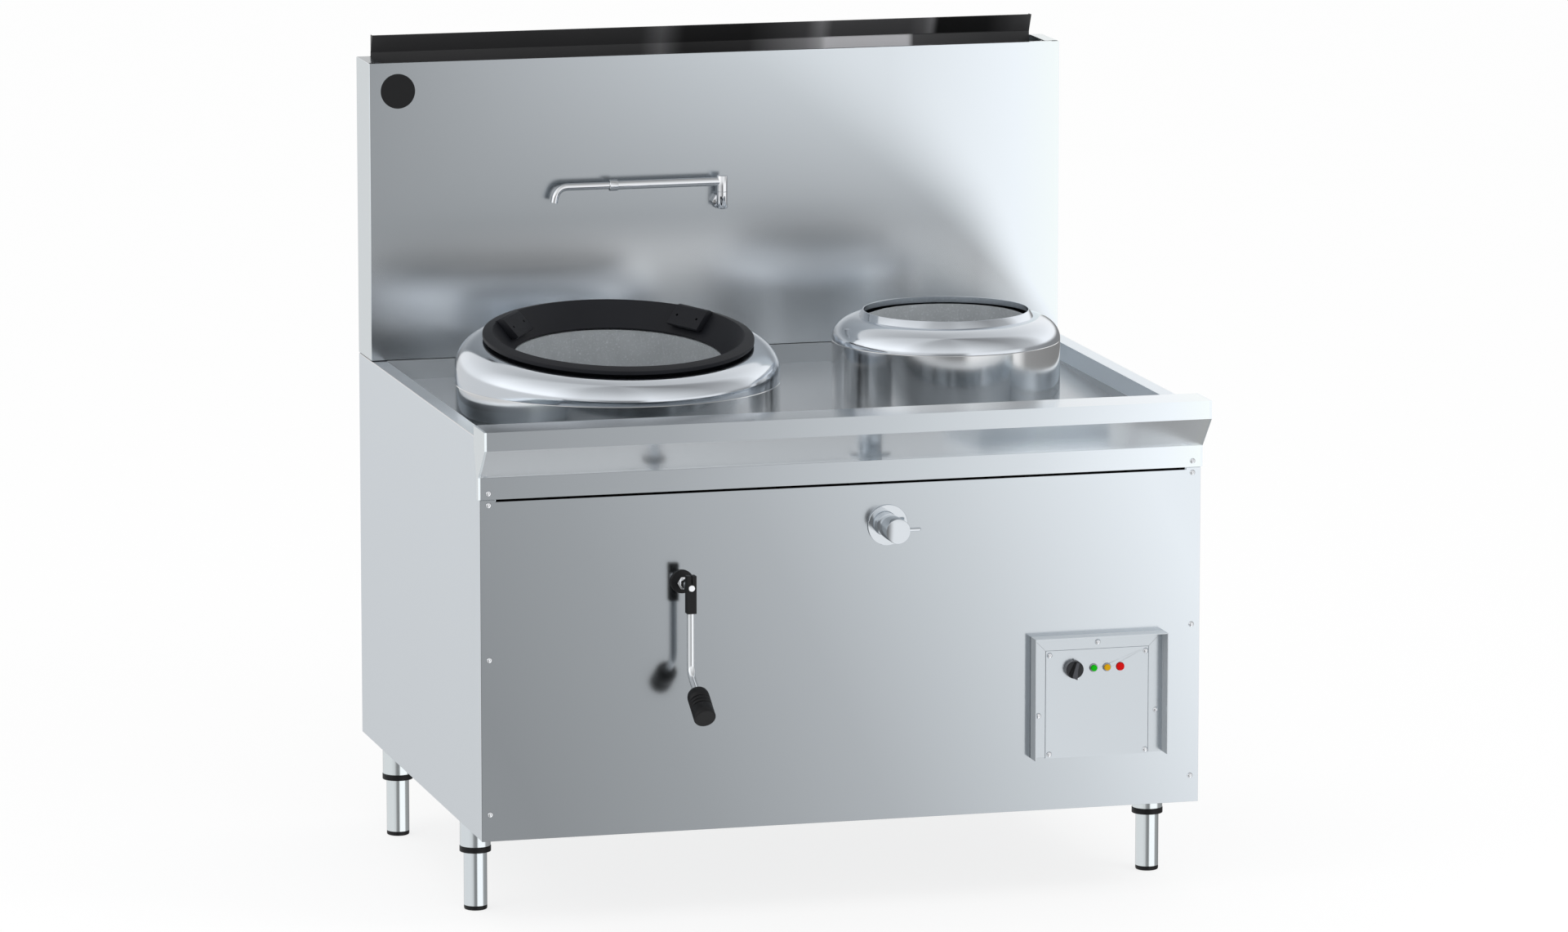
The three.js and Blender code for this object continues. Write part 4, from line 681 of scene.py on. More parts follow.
def black_enamel():
    """Black coated sheet of the flue deflector, with painted reflections: a softly lit length on
    the right.
    """
    shader = Shader("black_enamel", Metallic=0.0, Specular_IOR_Level=0.3)
    cloud = shader.noise(5.0)
    left = ((-0.6, 0.044), (-0.11, 0.038), (-0.075, 0.11), (-0.05, 0.044), (-0.035, 0.018))
    upper, lower = (
        shader.ramp(shader.axis("X"), -HALF, HALF, [
            ((x + HALF) / (2 * HALF), (level, level, level * 1.04)) for x, level in left + right
        ]) for right in (
            ((0.08, 0.018), (0.18, 0.068), (0.205, 0.2), (0.225, 0.072), (0.36, 0.064),
             (0.385, 0.1), (0.40, 0.18), (0.41, 0.01), (0.5, 0.012), (0.55, 0.05)),
            ((0.08, 0.024), (0.18, 0.20), (0.205, 0.34), (0.215, 0.56), (0.36, 0.58),
             (0.37, 0.07), (0.43, 0.056), (0.5, 0.044), (0.55, 0.044)),
        )
    )
    fold = 1.312  # height of the deflector's fold
    # the painted reflections of the upper and lower lengths, split at the fold
    length = shader.mix(shader.axis("Z").under(fold), upper, lower)
    shader.paint(shader.tint(length, 0.9 + cloud * 0.2), 0.34 + cloud * 0.1)
    return shader.bump(shader.noise(240), 0.05, 0.0002)


# ---------------- stage
class Room(Shader):
    """The same expressions on a world's nodes."""

    def __init__(self, tree):
        self.tree = tree

    def place(self):
        """Direction of the ray."""
        return self.node("TexCoord", {}, {}, "Generated")


def bearings(*stops):
    """Ramp stops from (degrees right of the front, level) pairs."""
    return [((degrees + 180) / 360, (level,) * 3) for degrees, level in stops]


WALLS = bearings(  # what metal sees level with itself
    (-180, 0.45), (-168, 0.692), (-60, 0.70), (-34, 0.60), (-24, 0.30), (-14, 0.22), (1, 0.22),
    (9, 1.0), (62, 1.0), (72, 0.33), (125, 0.26), (166, 0.22), (180, 0.45),
)
SWEEPS = bearings(  # and higher up, times the level for the height
    (-180, 0.95), (-130, 0.95), (-105, 1.25), (-62, 1.25), (-40, 0.88), (-10, 0.82), (10, 0.95),
    (35, 0.75), (60, 0.50), (85, 0.60), (105, 1.15), (140, 1.1), (180, 0.95),
)
HEIGHTS = [(height, (level,) * 3) for height, level in (
    (0.0, 1.0), (0.3, 0.95), (0.55, 0.80), (0.8, 0.62), (1.0, 0.50),
)]
DOWN = 1.3  # how much paler the walls are near the floor


class RANGE_OT_stage(bpy.types.Operator):
    """Pale floor, soft studio light and the camera"""

    bl_idname = "wok_range.stage"
    bl_label = "Stage"

    def execute(self, context):
        self.floor(context)
        self.world(context)
        self.lamps(context)
        self.camera(context)
        context.scene.view_settings.view_transform = "Standard"
        return {"FINISHED"}

    def floor(self, context):
        """Plain floor: the camera sees it mostly at the white of the room, with a faint shadow."""
        bm = bmesh.new()
        bmesh.ops.create_grid(bm, x_segments=2, y_segments=2, size=60)
        mesh = mesh_of("studio_floor", bm)
        shader = Shader("studio_floor", Roughness=0.9, Specular_IOR_Level=0.0)
        speck = shader.noise(3.0)
        shader.set("Base Color", shader.mix(speck, (0.93, 0.93, 0.93), (0.95, 0.95, 0.95)))
        ray = shader.node("LightPath", {}, {}, "Is Camera Ray")
        white = shader.node("Emission", {}, {"Color": (1, 1, 1, 1), "Strength": 1.0})
        body = Value(shader, shader.surface.outputs[0])
        mixed = shader.node("MixShader", {}, {0: ray * 0.8, 1: body, 2: white})
        shader.tree.links.new(mixed.socket, shader.tree.nodes["Material Output"].inputs["Surface"])
        floor = bpy.data.objects.new("studio_floor", mesh)
        mesh.materials.append(shader.material)
        context.collection.objects.link(floor)
        floor.visible_glossy = False

    def world(self, context):
        """White room for diffuse light; metal sees soft pale, white and grey walls by bearing."""
        world = bpy.data.worlds.new("studio")
        context.scene.world = world
        world.use_nodes = True
        room = Room(world.node_tree)
        x, y, z = room.axes()
        bearing = room.node("Math", {"operation": "ARCTAN2"}, {0: x, 1: y * -1.0}) * (180 / math.pi)
        walls, sweep = (room.ramp(bearing, -180, 180, stops) for stops in (WALLS, SWEEPS))
        walls = room.tint(walls, room.spread(z, -0.45, -0.85, 1.0, DOWN))
        height = room.ramp(z, 0.0, 1.0, HEIGHTS)
        upper = room.node("VectorMath", {"operation": "MULTIPLY"}, {0: height, 1: sweep})
        seen = room.mix(room.spread(z, 0.0, 0.16, kind="SMOOTHSTEP"), walls, upper)
        glossy = room.node("LightPath", {}, {}, "Is Glossy Ray")
        colour = room.mix(glossy, WHITE, seen)
        back = room.tree.nodes["Background"]
        room.tree.links.new(colour.socket, back.inputs["Color"])
        back.inputs["Strength"].default_value = 1.0

    def lamps(self, context):
        for name, place, target, size, power in (
            ("key_softbox", (2.6, -2.4, 3.2), (0.1, 0.0, 0.8), 1.6, 26),
            ("fill_softbox", (-3.2, -1.6, 2.4), (0.0, 0.0, 0.8), 1.8, 14),
        ):
            data = bpy.data.lights.new(name, "AREA")
            data.shape = "RECTANGLE"
            data.size = size
            data.size_y = size * 0.6
            data.energy = power
            lamp = bpy.data.objects.new(name, data)
            lamp.location = place
            aim = Vector(target) - Vector(place)
            lamp.rotation_euler = aim.to_track_quat("-Z", "Y").to_euler()
            lamp.visible_glossy = False
            context.collection.objects.link(lamp)

    def camera(self, context):
        """The camera that was solved on the cabinet's corners in the photograph."""
        focal_pixels, width_pixels, sensor = 10366.55, 1920, 36.0
        yaw, pitch = 0.26232, -0.17326
        data = bpy.data.cameras.new("photo_camera")
        data.sensor_fit = "HORIZONTAL"
        data.sensor_width = sensor
        data.lens = focal_pixels / width_pixels * sensor
        data.clip_end = 100
        camera = bpy.data.objects.new("photo_camera", data)
        level = math.cos(pitch)
        forward = Vector((math.sin(yaw) * level, math.cos(yaw) * level, math.sin(pitch)))
        camera.location = (-3.56339, PANEL_Y - 12.89738, 3.07484)
        camera.rotation_euler = forward.to_track_quat("-Z", "Y").to_euler()
        context.collection.objects.link(camera)
        context.scene.camera = camera


# ---------------- sheet metal
class RANGE_OT_sheets(bpy.types.Operator):
    """Brushed finish and fold radii on every sheet"""

    bl_idname = "wok_range.sheets"
    bl_label = "Sheets"

    def execute(self, context):
        fold = sizes().fold_radius
        for node, kind, share in (
            ("left_side_panel", "side", 0.8), ("right_side_panel", "side", 0.45),
            ("front_panel", "front", 0.45), ("rear_panel", "plain", 0.45),
            ("base_pan", "plain", 0.45), ("front_rail", "rail", 1.0), ("deck_tray", "tray", 1.0),
            ("splashback_shell", "splash", 0.45), ("splashback_back", "plain", 0.45),
            ("control_guard", "guard", 0.5), ("control_plate", "plate", 0.35),
        ):
            soften(node, sheet_material(kind), fold * share)
        for node in ("cross_flue_duct", "rear_flue_duct", "flue_riser_duct", "control_box"):
            soften(node, sheet_material("plain"), fold * 0.4)
        soften("flue_deflector", black_enamel(), fold * 0.4)
        return {"FINISHED"}


# ---------------- burner places
TILT = math.radians(6.5)  # lean of the wok can's mouth and of the ring to the cook
WOK_R, POT_R = (
    (high(node).x - low(node).x) / 2 for node in ("left_burner_housing", "right_pot_housing")
)
BASE_Z = low("right_pot_housing").z
SEAM_Z = 0.8238  # top of the wok can's upright wall
RING_Z = 0.8999  # middle of the ring's edge
LIP = 0.0110  # can's mouth under the plane of the ring's edge
RING_Y = WOK.y - (RING_Z - SEAM_Z) * math.tan(TILT)
LENGTH = (RING_Z - SEAM_Z) / math.cos(TILT) - LIP  # from the seam to the mouth, along the lean
SHOULDER = 0.045
SHEET = 0.002  # thickness of both cans
GAP = 0.0003  # play round the ducts in the cans' ports


def leaning(along, radius, lean, steps):
    """Ring of the wok can, some way up its leaning axis from the seam."""
    centre = (WOK.x, WOK.y - along * math.sin(lean), SEAM_Z + along * math.cos(lean))
    return circle(centre, radius, steps, lean)


def wok_skin(inset, arc, steps):
    """Rings of the wok can: upright to the seam, then a shoulder that leans over to the cook."""
    out = [circle((WOK.x, WOK.y, BASE_Z), WOK_R - inset, steps)]
    seam = ((0.0, inset),) if inset else ((0.0016, 0.0), (0.0008, 0.0006), (0.0, 0.0))
    for down, cut in seam:
        out.append(circle((WOK.x, WOK.y, SEAM_Z - down), WOK_R - cut, steps))
    for i in range(arc + 1):
        a = math.pi / 2 * i / arc
        along = LENGTH - SHOULDER + (SHOULDER - inset) * math.sin(a)
        r = WOK_R - SHOULDER + (SHOULDER - inset) * math.cos(a)
        out.append(leaning(along, r, TILT * (0.58 + 0.42 * i / arc), steps))
    return out


def carved(mesh, cutter):
    """Mesh with the closed shapes of a bmesh cut out of it."""
    piece, tool = pair = [
        bpy.data.objects.new(shape.name, shape) for shape in (mesh, mesh_of("cutter", cutter))
    ]
    for item in pair:
        bpy.context.collection.objects.link(item)
    cut = piece.modifiers.new("cut", "BOOLEAN")
    cut.object = tool
    cut.solver = "EXACT"
    bpy.context.view_layer.update()
    seen = piece.evaluated_get(bpy.context.evaluated_depsgraph_get())
    done = bpy.data.meshes.new_from_object(seen)
    for item in pair:
        bpy.data.objects.remove(item)
    return done


def port_cut(piece, a, b):
    """Cuts the flue port through a can."""
    bm = bmesh.new()
    slab(bm, a, b)
    piece.data = carved(piece.data, bm)


class RANGE_OT_wok_place(bpy.types.Operator):
    """Polished wok can, cast ring, lining and burner"""

    bl_idname = "wok_range.wok_place"
    bl_label = "Wok place"

    MOUTH, FLOOR = 0.2047, 0.082  # radii of the can's mouth and of the hole in its floor
    LUGS = (36.7, 143.3)  # degrees from the cook's right

    def execute(self, context):
        steps = sizes().round_steps
        self.can(steps)
        self.ring(steps)
        finish_node("left_refractory", lining())
        finish_node("burner_head", iron())
        finish_node("pilot_assembly", yellow_metal("pilot_brass", (0.55, 0.42, 0.2), 0.3))
        return {"FINISHED"}

    def can(self, steps):
        mouth = [leaning(LENGTH - drop, self.MOUTH, TILT, steps) for drop in (0.0, SHEET)]
        floor = [circle((WOK.x, WOK.y, BASE_Z + z), r, steps) for z, r in (
            (SHEET, WOK_R - SHEET), (SHEET, self.FLOOR), (0.0, self.FLOOR),
        )]
        bm = bmesh.new()
        rings(bm, wok_skin(0.0, 14, steps) + mouth + wok_skin(SHEET, 8, steps)[1:][::-1] + floor)
        can = link("wok_can", bm, polished("polished_wok_can", SEAM_Z), "cabinet",
                   "polished_steel", "left_burner_housing", smooth=30)
        duct_a, duct_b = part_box("cross_flue_duct")
        port_cut(can, (WOK.x, duct_a.y - GAP, duct_a.z - GAP),
                 (WOK.x + 0.4, duct_b.y + GAP, duct_b.z + GAP))

    def ring(self, steps):
        seat = Matrix.Translation((WOK.x, RING_Y, RING_Z)) @ Matrix.Rotation(TILT, 4, "X")
        bm = bmesh.new()
        turned(bm, rounded(mm([
            (169.8, -34.8), (172.8, -37.8), (209.2, -6.4), (222.5, -6.4), (222.5, 0), (206.2, 4.4),
        ]), 0.0012, {0, 1, 3, 4, 5}), steps, seat)
        for angle in self.LUGS:
            self.lug(bm, seat @ turn(angle, "Z"))
        link("cast_wok_ring", bm, iron(), "ring", "cast_iron", "wok_ring", smooth=30)

    def lug(self, bm, matrix):
        """Cast lug with softened edges and two small holes in its sloping face."""
        side = mm([
            (163.7, -17.2), (167.8, -21.5), (185, -21.5), (208, 3.2), (198.7, 8.5), (190.8, 8.5),
        ])
        part = bmesh.new()
        prism(part, [[Vector((r, y, z)) for r, z in side] for y in (-0.0319, 0.0319)])
        bevel(part, part.edges[:], 0.0007, 2)
        holes = bmesh.new()
        face = Matrix.Translation((0.1772, 0, -0.0043)) @ turn(-43.5, "Y")
        for y in (-0.0205, 0.0205):
            hole = mm([(0, -8), (2.2, -8), (2.2, 3), (0, 3)])
            turned(holes, hole, 24, face @ Matrix.Translation((0, y, 0)))
        mesh = carved(mesh_of("lug", part), holes)
        mesh.transform(matrix)
        bm.from_mesh(mesh)


class RANGE_OT_pot_place(bpy.types.Operator):
    """Polished pot can with its collar and lining"""

    bl_idname = "wok_range.pot_place"
    bl_label = "Pot place"

    def execute(self, context):
        seam, rise, neck = 0.8705, 0.0375, POT_R - SHOULDER
        collar, top = seam + rise, high("right_pot_housing").z

        def arc(inset, count):
            return [(
                neck + (SHOULDER - inset) * math.cos(math.pi / 2 * i / count),
                seam + (rise - inset) * math.sin(math.pi / 2 * i / count),
            ) for i in range(count + 1)]

        outside = [(0.0, BASE_Z), (POT_R, BASE_Z), (POT_R, seam - 0.0016),
                   (POT_R - 0.0005, seam - 0.0008)]
        edge = [(neck - 0.0058, top - 0.0004), (neck - 0.0062, top),
                (neck - 0.0076, top), (neck - 0.008, top - 0.0004), (neck - 0.002, collar)]
        inside = [(POT_R - SHEET, BASE_Z + SHEET), (0.0, BASE_Z + SHEET)]
        bm = bmesh.new()
        turned(bm, outside + arc(0.0, 14) + edge + arc(SHEET, 6)[::-1][1:] + inside,
               sizes().round_steps, Matrix.Translation((POT.x, POT.y, 0)))
        can = link("pot_can", bm, polished("polished_pot_can", seam), "cabinet",
                   "polished_steel", "right_pot_housing", smooth=30)
        duct_a, duct_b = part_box("cross_flue_duct")
        low_z, high_z = duct_a.z - GAP, duct_b.z + GAP
        port_cut(can, (POT.x - 0.4, duct_a.y - GAP, low_z), (POT.x, duct_b.y + GAP, high_z))
        port_cut(can, (POT.x - 0.06 - GAP, POT.y, low_z),
                 (POT.x + 0.06 + GAP, POT.y + POT_R + 0.02, high_z))
        finish_node("right_refractory", lining())
        finish_node("right_hearth", lining())
        return {"FINISHED"}


# ---------------- front fittings
class RANGE_OT_lever(bpy.types.Operator):
    """Knee lever: chromed rod, clamp, pin and grooved grip"""

    bl_idname = "wok_range.lever"
    bl_label = "Knee lever"

    X, Z = -269.5, 558.0
    OUT, DROP = -57.5, 139.0  # the rod's upper length, down to its bend
    SLOPE = 58.0  # degrees by which its lower length leans out

    def execute(self, context):
        place = facing(self.X, self.Z)
        lathed("lever_disc", [(0, 0.3), (19, 0.3), (19, 3.5), (18.2, 4.3), (0, 4.3)], 64, place,
               black_moulding(), "cabinet", "black_plastic", "valve_escutcheon")
        self.pin(place)
        soften("lever_clamp", black_moulding(), 0.0006)
        self.rod()
        self.grip()
        return {"FINISHED"}

    def pin(self, place):
        bm = bmesh.new()
        turned(bm, mm([
            (0, -24), (5.2, -24), (5.2, 4.7), (5.2, 16), (7.9, 16), (7.9, 49.6), (5.2, 49.6),
            (5.2, 65.1), (4.7, 65.6), (0, 65.6),
        ]), 40, place)
        hexagon(bm, 11, 4.7, 16.6, place)
        link("lever_pin", bm, chrome(), "lever", "polished_steel", "lever_shaft")

    def along(self, distance):
        """Place on the rod's lower length, so many mm from its bend."""
        slope = math.radians(self.SLOPE)
        return spot(self.X, self.OUT - distance * math.sin(slope),
                    self.Z - self.DROP - distance * math.cos(slope))

    def rod(self):
        bm = bmesh.new()
        path = [spot(self.X, self.OUT, self.Z - 8.2), self.along(0), self.along(76)]
        prism(bm, swept(cornered(path, 0.017, 16), 0.0063, 48))
        link("lever_bar", bm, mirror("rod_steel", (0.90, 0.93, 0.96), metal=0.85), "lever",
             "rod_steel", "lever_rod")

    def grip(self):
        r, length, bore = 17.8, 61.8, 32.3
        profile = [
            (0, bore), (6.6, bore), (6.6, 0.4), (7.2, 0.0), (r - 8, 0), (r - 5.2, 0.7),
            (r - 3.2, 2.2), (r - 1.6, 4.6), (r - 0.5, 8), (r, 11.5),
        ]
        for groove in (-7, 0, 7):
            z = length / 2 + groove
            profile += [(r, z - 1.8), (r - 0.7, z - 1.1), (r - 2.0, z - 0.5),
                        (r - 2.0, z + 0.5), (r - 0.7, z + 1.1), (r, z + 1.8)]
        profile += [(r, length - 2.4), (r - 0.5, length - 1), (r - 1.6, length - 0.1),
                    (r - 2.4, length), (0, length)]
        place = Matrix.Translation(self.along(44)) @ turn(180 - self.SLOPE, "X")
        lathed("knee_grip", profile, 72, place,
               black_moulding(), "lever", "black_plastic", "lever_grip", smooth=50)


class RANGE_OT_tap(bpy.types.Operator):
    """Water tap: dished rose and cross-pin knob"""

    bl_idname = "wok_range.tap"
    bl_label = "Tap"

    X, Z = 72, 634

    def execute(self, context):
        place = facing(self.X, self.Z)
        lathed("tap_rose", [(0, 0.3), (32.7, 0.3), (33, 0.6), (33, 2.9), (32.6, 3.3), (0, 3.3)], 96,
               place, tap_steel(), "cabinet", "bright_chrome", "tap_escutcheon")
        bm = bmesh.new()
        turned(bm, mm([
            (0, -14), (6, -14), (6, 3.6), (18.8, 3.6), (19.1, 3.9), (19.1, 20.0), (19.3, 20.6),
            (20, 20.9), (20, 64.3), (19.7, 64.8), (19.0, 65), (0, 65),
        ]), 96, place)
        turned(bm, mm([
            (0, 0), (3, 0), (3, 38.4), (2.8, 39.6), (2.1, 40.6), (1.1, 41), (0, 41),
        ]), 32, at(self.X, -52, self.Z) @ turn(90, "Y"))
        link("tap_handle", bm, tap_steel(), "tap", "bright_chrome", "tap_knob")
        return {"FINISHED"}


class RANGE_OT_spout(bpy.types.Operator):
    """Swing spout: wall elbow, swivel, arm with its nut, and outlet bend"""

    bl_idname = "wok_range.spout"
    bl_label = "Spout"

    Y = 775.0
    ARM_Z = 1089

    def execute(self, context):
        column = at(0, self.Y, 0)
        self.elbow(column)
        lathed("spout_head", [
            (0, 1072), (9.2, 1072), (9.5, 1072.4), (9.5, 1097.4), (9.0, 1098.6), (8.0, 1099),
            (0, 1099),
        ], 64, column, chrome(), "spout", "bright_chrome", "spout_column")
        lathed("spout_tube", [
            (6.3, 14), (6.3, 196), (8.6, 196), (9.2, 195.4), (9.2, 182.6), (8.8, 182),
            (7.3, 182), (7.3, 0.3), (6.3, 0.3),
        ], 64, at(0, self.Y, self.ARM_Z) @ turn(-90, "Y"),
            chrome(), "spout", "bright_chrome", "spout_arm")
        self.tip()
        return {"FINISHED"}

    def elbow(self, column):
        bm = bmesh.new()
        turned(bm, mm([
            (0, 1042.5), (6.0, 1042.5), (8.4, 1043.6), (9.5, 1046), (9.5, 1071.3), (9.1, 1071.7),
            (0, 1071.7),
        ]), 64, column)
        inlet = at(0, self.Y, 1052.5) @ turn(-90, "X")
        turned(bm, mm([(0, 0), (6.5, 0), (6.5, 48), (0, 48)]), 40, inlet)
        hexagon(bm, 13, 15.7, 27.7, inlet)
        link("spout_elbow", bm, chrome(), "cabinet", "bright_chrome", "spout_wall_elbow")

    def tip(self):
        """Outlet tube that bends down, with a bore at its mouth."""
        end, lean = -290, 19 * math.tan(math.radians(20))
        path = cornered([
            spot(-76.3, self.Y, self.ARM_Z), spot(end + lean - 3, self.Y, self.ARM_Z),
            spot(end - lean * 0.2, self.Y, 1063),
        ], 0.0195, 18)
        tube = swept(path, 0.006, 40)
        centre = sum(tube[-1], Vector()) / len(tube[-1])
        mouth = [centre + (p - centre) * 0.8 for p in tube[-1]]
        inward = (path[-2] - path[-1]).normalized() * 0.008
        bm = bmesh.new()
        prism(bm, tube + [mouth, [p + inward for p in mouth]])
        link("spout_outlet", bm, chrome(), "spout_tip", "bright_chrome", "spout_tip")


# ---------------- controls
class RANGE_OT_controls(bpy.types.Operator):
    """Selector, two lamps and the reset button"""

    bl_idname = "wok_range.controls"
    bl_label = "Controls"

    ROW, DIAL_X, LAMP_X, PITCH = 382.0, 385.0, 419.5, 22.7
    MITRES_X = 425.7  # middle of the guard

    def execute(self, context):
        self.bezel()
        self.knob()
        self.lamp("green_lamp", 0, (0.0, 0.42, 0.0), "green_lens")
        self.lamp("amber_lamp", 1, (0.60, 0.32, 0.0), "amber_lens")
        # The reset button holds no lamp: its cap's faint glow of 0.05 is a painted glow.
        lathed("reset_cap", [
            (0, -17.5), (4, -17.5), (4, -3), (8.5, -3), (8.5, 0), (6.5, 0), (6.5, 4.5), (6.2, 5.0),
            (5.6, 5.3), (0, 5.3),
        ], 48, facing(self.LAMP_X + 2 * self.PITCH, self.ROW),
            lens("reset_cap", (0.60, 0.0, 0.0), 0.05), "reset", "red_button", "reset_button")
        self.mitres()
        return {"FINISHED"}

    def dial_painted_light(self, shader, speck):
        """Grey wall, black face, a handle darker in painted shade, and a painted highlight paler
        along its top.
        """
        y = shader.axis("Y")
        colour = (0.20, 0.205, 0.215)
        # outwards: the face, then the handle in painted shade, then its crest in a painted
        # highlight
        for out, shade in ((0.0118, 3.6), (0.0137, 0.5), (0.0188, 9)):
            colour = shader.mix(y.under(PANEL_Y - out), colour, scaled(colours().moulding, shade))
        return shader.tint(colour, 0.9 + speck * 0.2)

    def bezel(self):
        """Ring behind the dial, with a tick at its top."""
        bm = bmesh.new()
        turned(bm, mm([
            (0, 2.1), (14.6, 2.1), (14.9, 2.4), (14.9, 2.9), (14.5, 3.3), (0, 3.3),
        ]), 72, facing(self.DIAL_X, self.ROW))
        slab(bm, spot(self.DIAL_X - 0.7, -3.3, self.ROW + 13),
             spot(self.DIAL_X + 0.7, -2.4, self.ROW + 17), 0.0003)
        link("selector_ring", bm, moulded("grey_bezel", (0.21, 0.22, 0.235), 0.35), "cabinet",
             "grey_plastic", "selector_bezel")

    def knob(self):
        """Dial with a handle that narrows from its foot to its crest."""
        bm = bmesh.new()
        place = facing(self.DIAL_X, self.ROW)
        turned(bm, mm([
            (0, -13.5), (3, -13.5), (3, 4.2), (14.2, 4.2), (14.5, 4.6), (14.6, 12.6), (14.0, 13.4),
            (0, 13.5),
        ]), 72, place)
        foot = [(-1.2, 13.0), (2.4, 13.0), (6.0, 11.6), (3.6, -1.0), (2.6, -13.2), (-4.6, -12.6),
                (-11.4, -6.0)]
        crest = [(1.6, 12.6), (2.6, 12.8), (5.6, 11.4), (3.2, -1.0), (2.4, -15.8), (-5.6, -12.2),
                 (-5.2, -9.8)]
        prism(bm, [
            [place @ Vector((x * MM, y * MM, z * MM)) for x, y in shape]
            for z, shape in ((13.0, foot), (19.4, crest))
        ])
        link("selector_dial", bm, plastic("dial_plastic", 0.42, self.dial_painted_light), "selector",
             "black_plastic", "selector_knob", smooth=30)

    def lamp(self, node, step, colour, slot):
        place = facing(self.LAMP_X + step * self.PITCH, self.ROW)
        grey_steel = flat_tone((0.42, 0.43, 0.46))
        lathed(node + "_bezel", [
            (0, -21.9), (4, -21.9), (4, 2.1), (7, 2.1), (7, 2.9), (6.5, 3.6), (5.5, 3.9),
            (5.5, 3.4), (0, 3.4),
        ], 48, place, shared(brushed, "lamp_bezel", grey_steel, (30, 30, 30), 0.3),
            "cabinet", "grey_plastic", node)
        lathed(node + "_lens", [
            (0, 3.0), (5.2, 3.0), (5.2, 6.8), (4.9, 7.5), (4.2, 7.9), (3.0, 8.1), (0, 8.1),
        ], 48, place, lens(node + "_lens", colour, 0.1), "cabinet", slot)

    def mitres(self):
        """Hairline seams of the guard's mitred flange."""
        bm = bmesh.new()
        for side in (-1, 1):
            ax, az = self.MITRES_X + side * 111.0, 437.0
            bx, bz = self.MITRES_X + side * 87.6, 413.6
            dx, dz = bx - ax, bz - az
            size = math.hypot(dx, dz)
            nx, nz = -dz / size * 0.16, dx / size * 0.16
            corners = [(ax + nx, az + nz), (bx + nx, bz + nz),
                       (bx - nx, bz - nz), (ax - nx, az - nz)]
            prism(bm, [[spot(x, y, z) for x, z in corners] for y in (-1.6, -1.86)])
        link("guard_seams", bm, moulded("seam_shadow", (0.24, 0.25, 0.26), 0.6), "cabinet",
             "panel_steel", smooth=0)


# ---------------- legs
class RANGE_OT_legs(bpy.types.Operator):
    """Leg sleeves with black guide rings, bright inserts and feet"""

    bl_idname = "wok_range.legs"
    bl_label = "Legs"

    def execute(self, context):
        for corner, x, y in (
            ("front_left", -570, 180), ("front_right", 570, 180),
            ("rear_left", -570, 762), ("rear_right", 570, 762),
        ):
            self.leg(corner, at(x, y, 0))
        return {"FINISHED"}

    def leg(self, corner, place):
        top, rim, ring_foot = 149.7, 105.7, 96.2  # of the sleeve, and its guide ring's foot
        steps, body = 72, "leg_" + corner
        bm = bmesh.new()
        turned(bm, mm([
            (19.3, top - 3), (19.3, rim), (24.6, rim), (25, rim + 0.4), (25, top - 0.4),
            (24.6, top), (19.3, top),
        ]), steps, place)
        turned(bm, mm([(0, top - 3), (19.6, top - 3), (19.6, top), (0, top)]), steps, place)
        link("sleeve_" + corner, bm, satin(), "cabinet", "leg_steel", "leg_sleeve_" + corner)
        lathed("guide_ring_" + corner, rounded([
            (19.3, ring_foot), (25.7, ring_foot), (25.7, rim), (19.3, rim),
        ], 1.0, {1, 2}), steps, place, black_moulding(), "cabinet", "black_plastic")
        lathed("insert_" + corner, [
            (0, 7.3), (18.7, 7.3), (19, 7.6), (19, 146.1), (18.7, 146.4), (0, 146.4),
        ], steps, place, satin(), body, "leg_steel", "leg_insert_" + corner)
        lathed("shoe_" + corner, [
            (0, 0), (16.6, 0), (18.2, 0.7), (19, 2.3), (19, 6.7), (18.7, 7), (0, 7),
        ], steps, place, black_moulding(), body, "black_plastic", "foot_" + corner)


# ---------------- services, fasteners, badge
class RANGE_OT_services(bpy.types.Operator):
    """Finishes of the pipes and valves inside the cabinet"""

    bl_idname = "wok_range.services"
    bl_label = "Services"

    def execute(self, context):
        copper = yellow_metal("copper_tube", (0.62, 0.30, 0.17), 0.32)
        brass = yellow_metal("valve_brass", (0.60, 0.45, 0.20), 0.34)
        for node in ("gas_inlet_pipe", "burner_feed_pipe", "water_inlet_pipe", "water_riser_pipe"):
            mesh = finish_node(node, copper).data
            mesh.shade_smooth()
            mesh.set_sharp_from_angle(angle=math.radians(50))
        for node in ("gas_valve_block", "knee_valve_body", "tap_valve_body"):
            soften(node, brass, 0.0008)
        return {"FINISHED"}


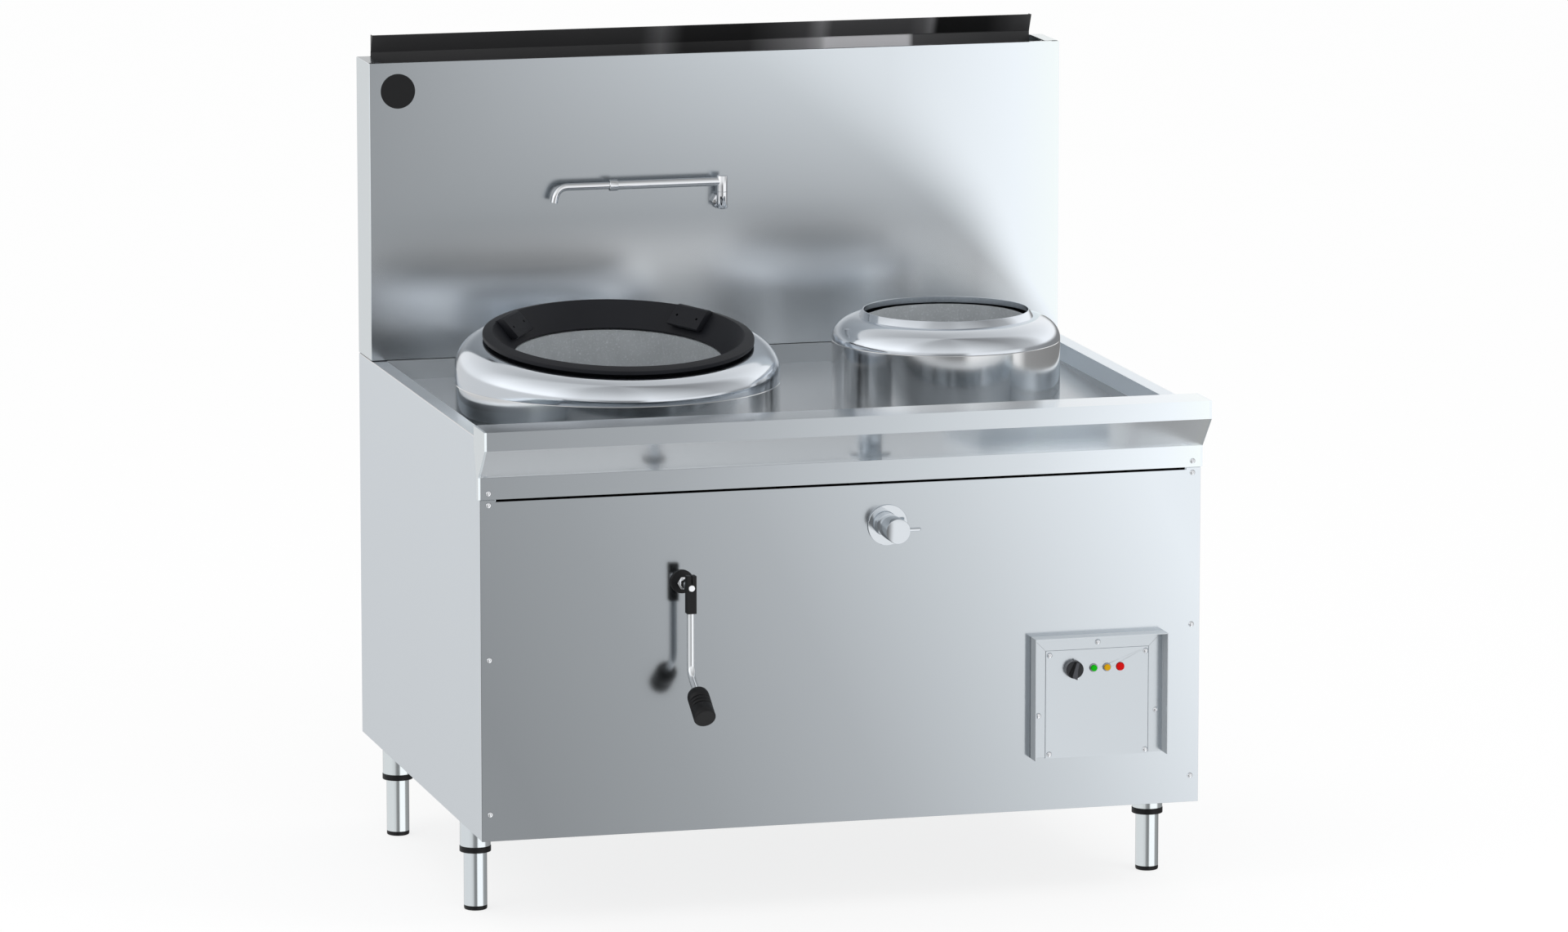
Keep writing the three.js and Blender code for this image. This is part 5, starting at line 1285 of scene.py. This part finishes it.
class RANGE_OT_fasteners(bpy.types.Operator):
    """Button-head screws of the panel, guard and control plate"""

    bl_idname = "wok_range.fasteners"
    bl_label = "Fasteners"

    def execute(self, context):
        bm = bmesh.new()
        for side in (-1, 1):
            for z in (715, 696, 445.4, 194):
                self.screw(bm, side * 586, 0.0, z)
        for x, z in (
            (426.6, 424.5), (326.6, 307), (525.9, 307),
            (345.1, 405.8), (345.1, 242.2), (508.3, 405.8), (508.3, 242.2),
        ):
            self.screw(bm, x, 1.8, z)
        link("panel_screws", bm, mirror("screw_zinc", (0.88, 0.90, 0.93), 0.12), "cabinet",
             "polished_steel")
        return {"FINISHED"}

    def screw(self, bm, x, out, z):
        r = sizes().screw_head / 2 / MM
        turned(bm, mm([
            (0, 0.02), (r, 0.02), (r, 0.45), (r * 0.93, 1.15), (r * 0.78, 1.75), (r * 0.56, 2.15),
            (r * 0.40, 2.25), (r * 0.36, 2.1), (r * 0.36, 1.0), (0, 0.8),
        ]), 28, facing(x, z, -out))


class RANGE_OT_badge(bpy.types.Operator):
    """Plain dark round plate with a turned edge"""

    bl_idname = "wok_range.badge"
    bl_label = "Round plate"

    def execute(self, context):
        centre, back = middle("badge_plate") / MM, (high("badge_plate").y - PANEL_Y) / MM
        lathed("round_plate", [
            (0, 0), (28.7, 0), (29, 0.3), (29, 1.4), (28.4, 2.0), (0, 2.0),
        ], 96, facing(centre.x, centre.z, back),
            black_moulding(), "cabinet", "black_plate", "badge_plate")
        return {"FINISHED"}


# ---------------- panel and registration
OPERATORS = (
    RANGE_OT_stage, RANGE_OT_sheets, RANGE_OT_wok_place, RANGE_OT_pot_place, RANGE_OT_lever,
    RANGE_OT_tap, RANGE_OT_spout, RANGE_OT_controls, RANGE_OT_legs, RANGE_OT_services,
    RANGE_OT_fasteners, RANGE_OT_badge,
)


class RANGE_PT_dresser(bpy.types.Panel):
    """Sizes, colours and one button for each group of pieces"""

    bl_idname = "RANGE_PT_dresser"
    bl_label = "Wok Range"
    bl_space_type = "VIEW_3D"
    bl_region_type = "UI"
    bl_category = "Wok Range"

    def draw(self, context):
        for name in ("range_sizes", "range_colours"):
            group = getattr(context.scene, name)
            for field in group.__annotations__:
                self.layout.prop(group, field)
        for operator in OPERATORS:
            self.layout.operator(operator.bl_idname)


CLASSES = (RangeSizes, RangeColours, *OPERATORS, RANGE_PT_dresser)


def register():
    for cls in CLASSES:
        bpy.utils.register_class(cls)
    bpy.types.Scene.range_sizes = PointerProperty(type=RangeSizes)
    bpy.types.Scene.range_colours = PointerProperty(type=RangeColours)


def unregister():
    del bpy.types.Scene.range_colours
    del bpy.types.Scene.range_sizes
    for cls in reversed(CLASSES):
        bpy.utils.unregister_class(cls)


def main():
    register()
    for operator in OPERATORS:
        getattr(bpy.ops.wok_range, operator.bl_idname.split(".")[1])()


if __name__ == "__main__":
    main()
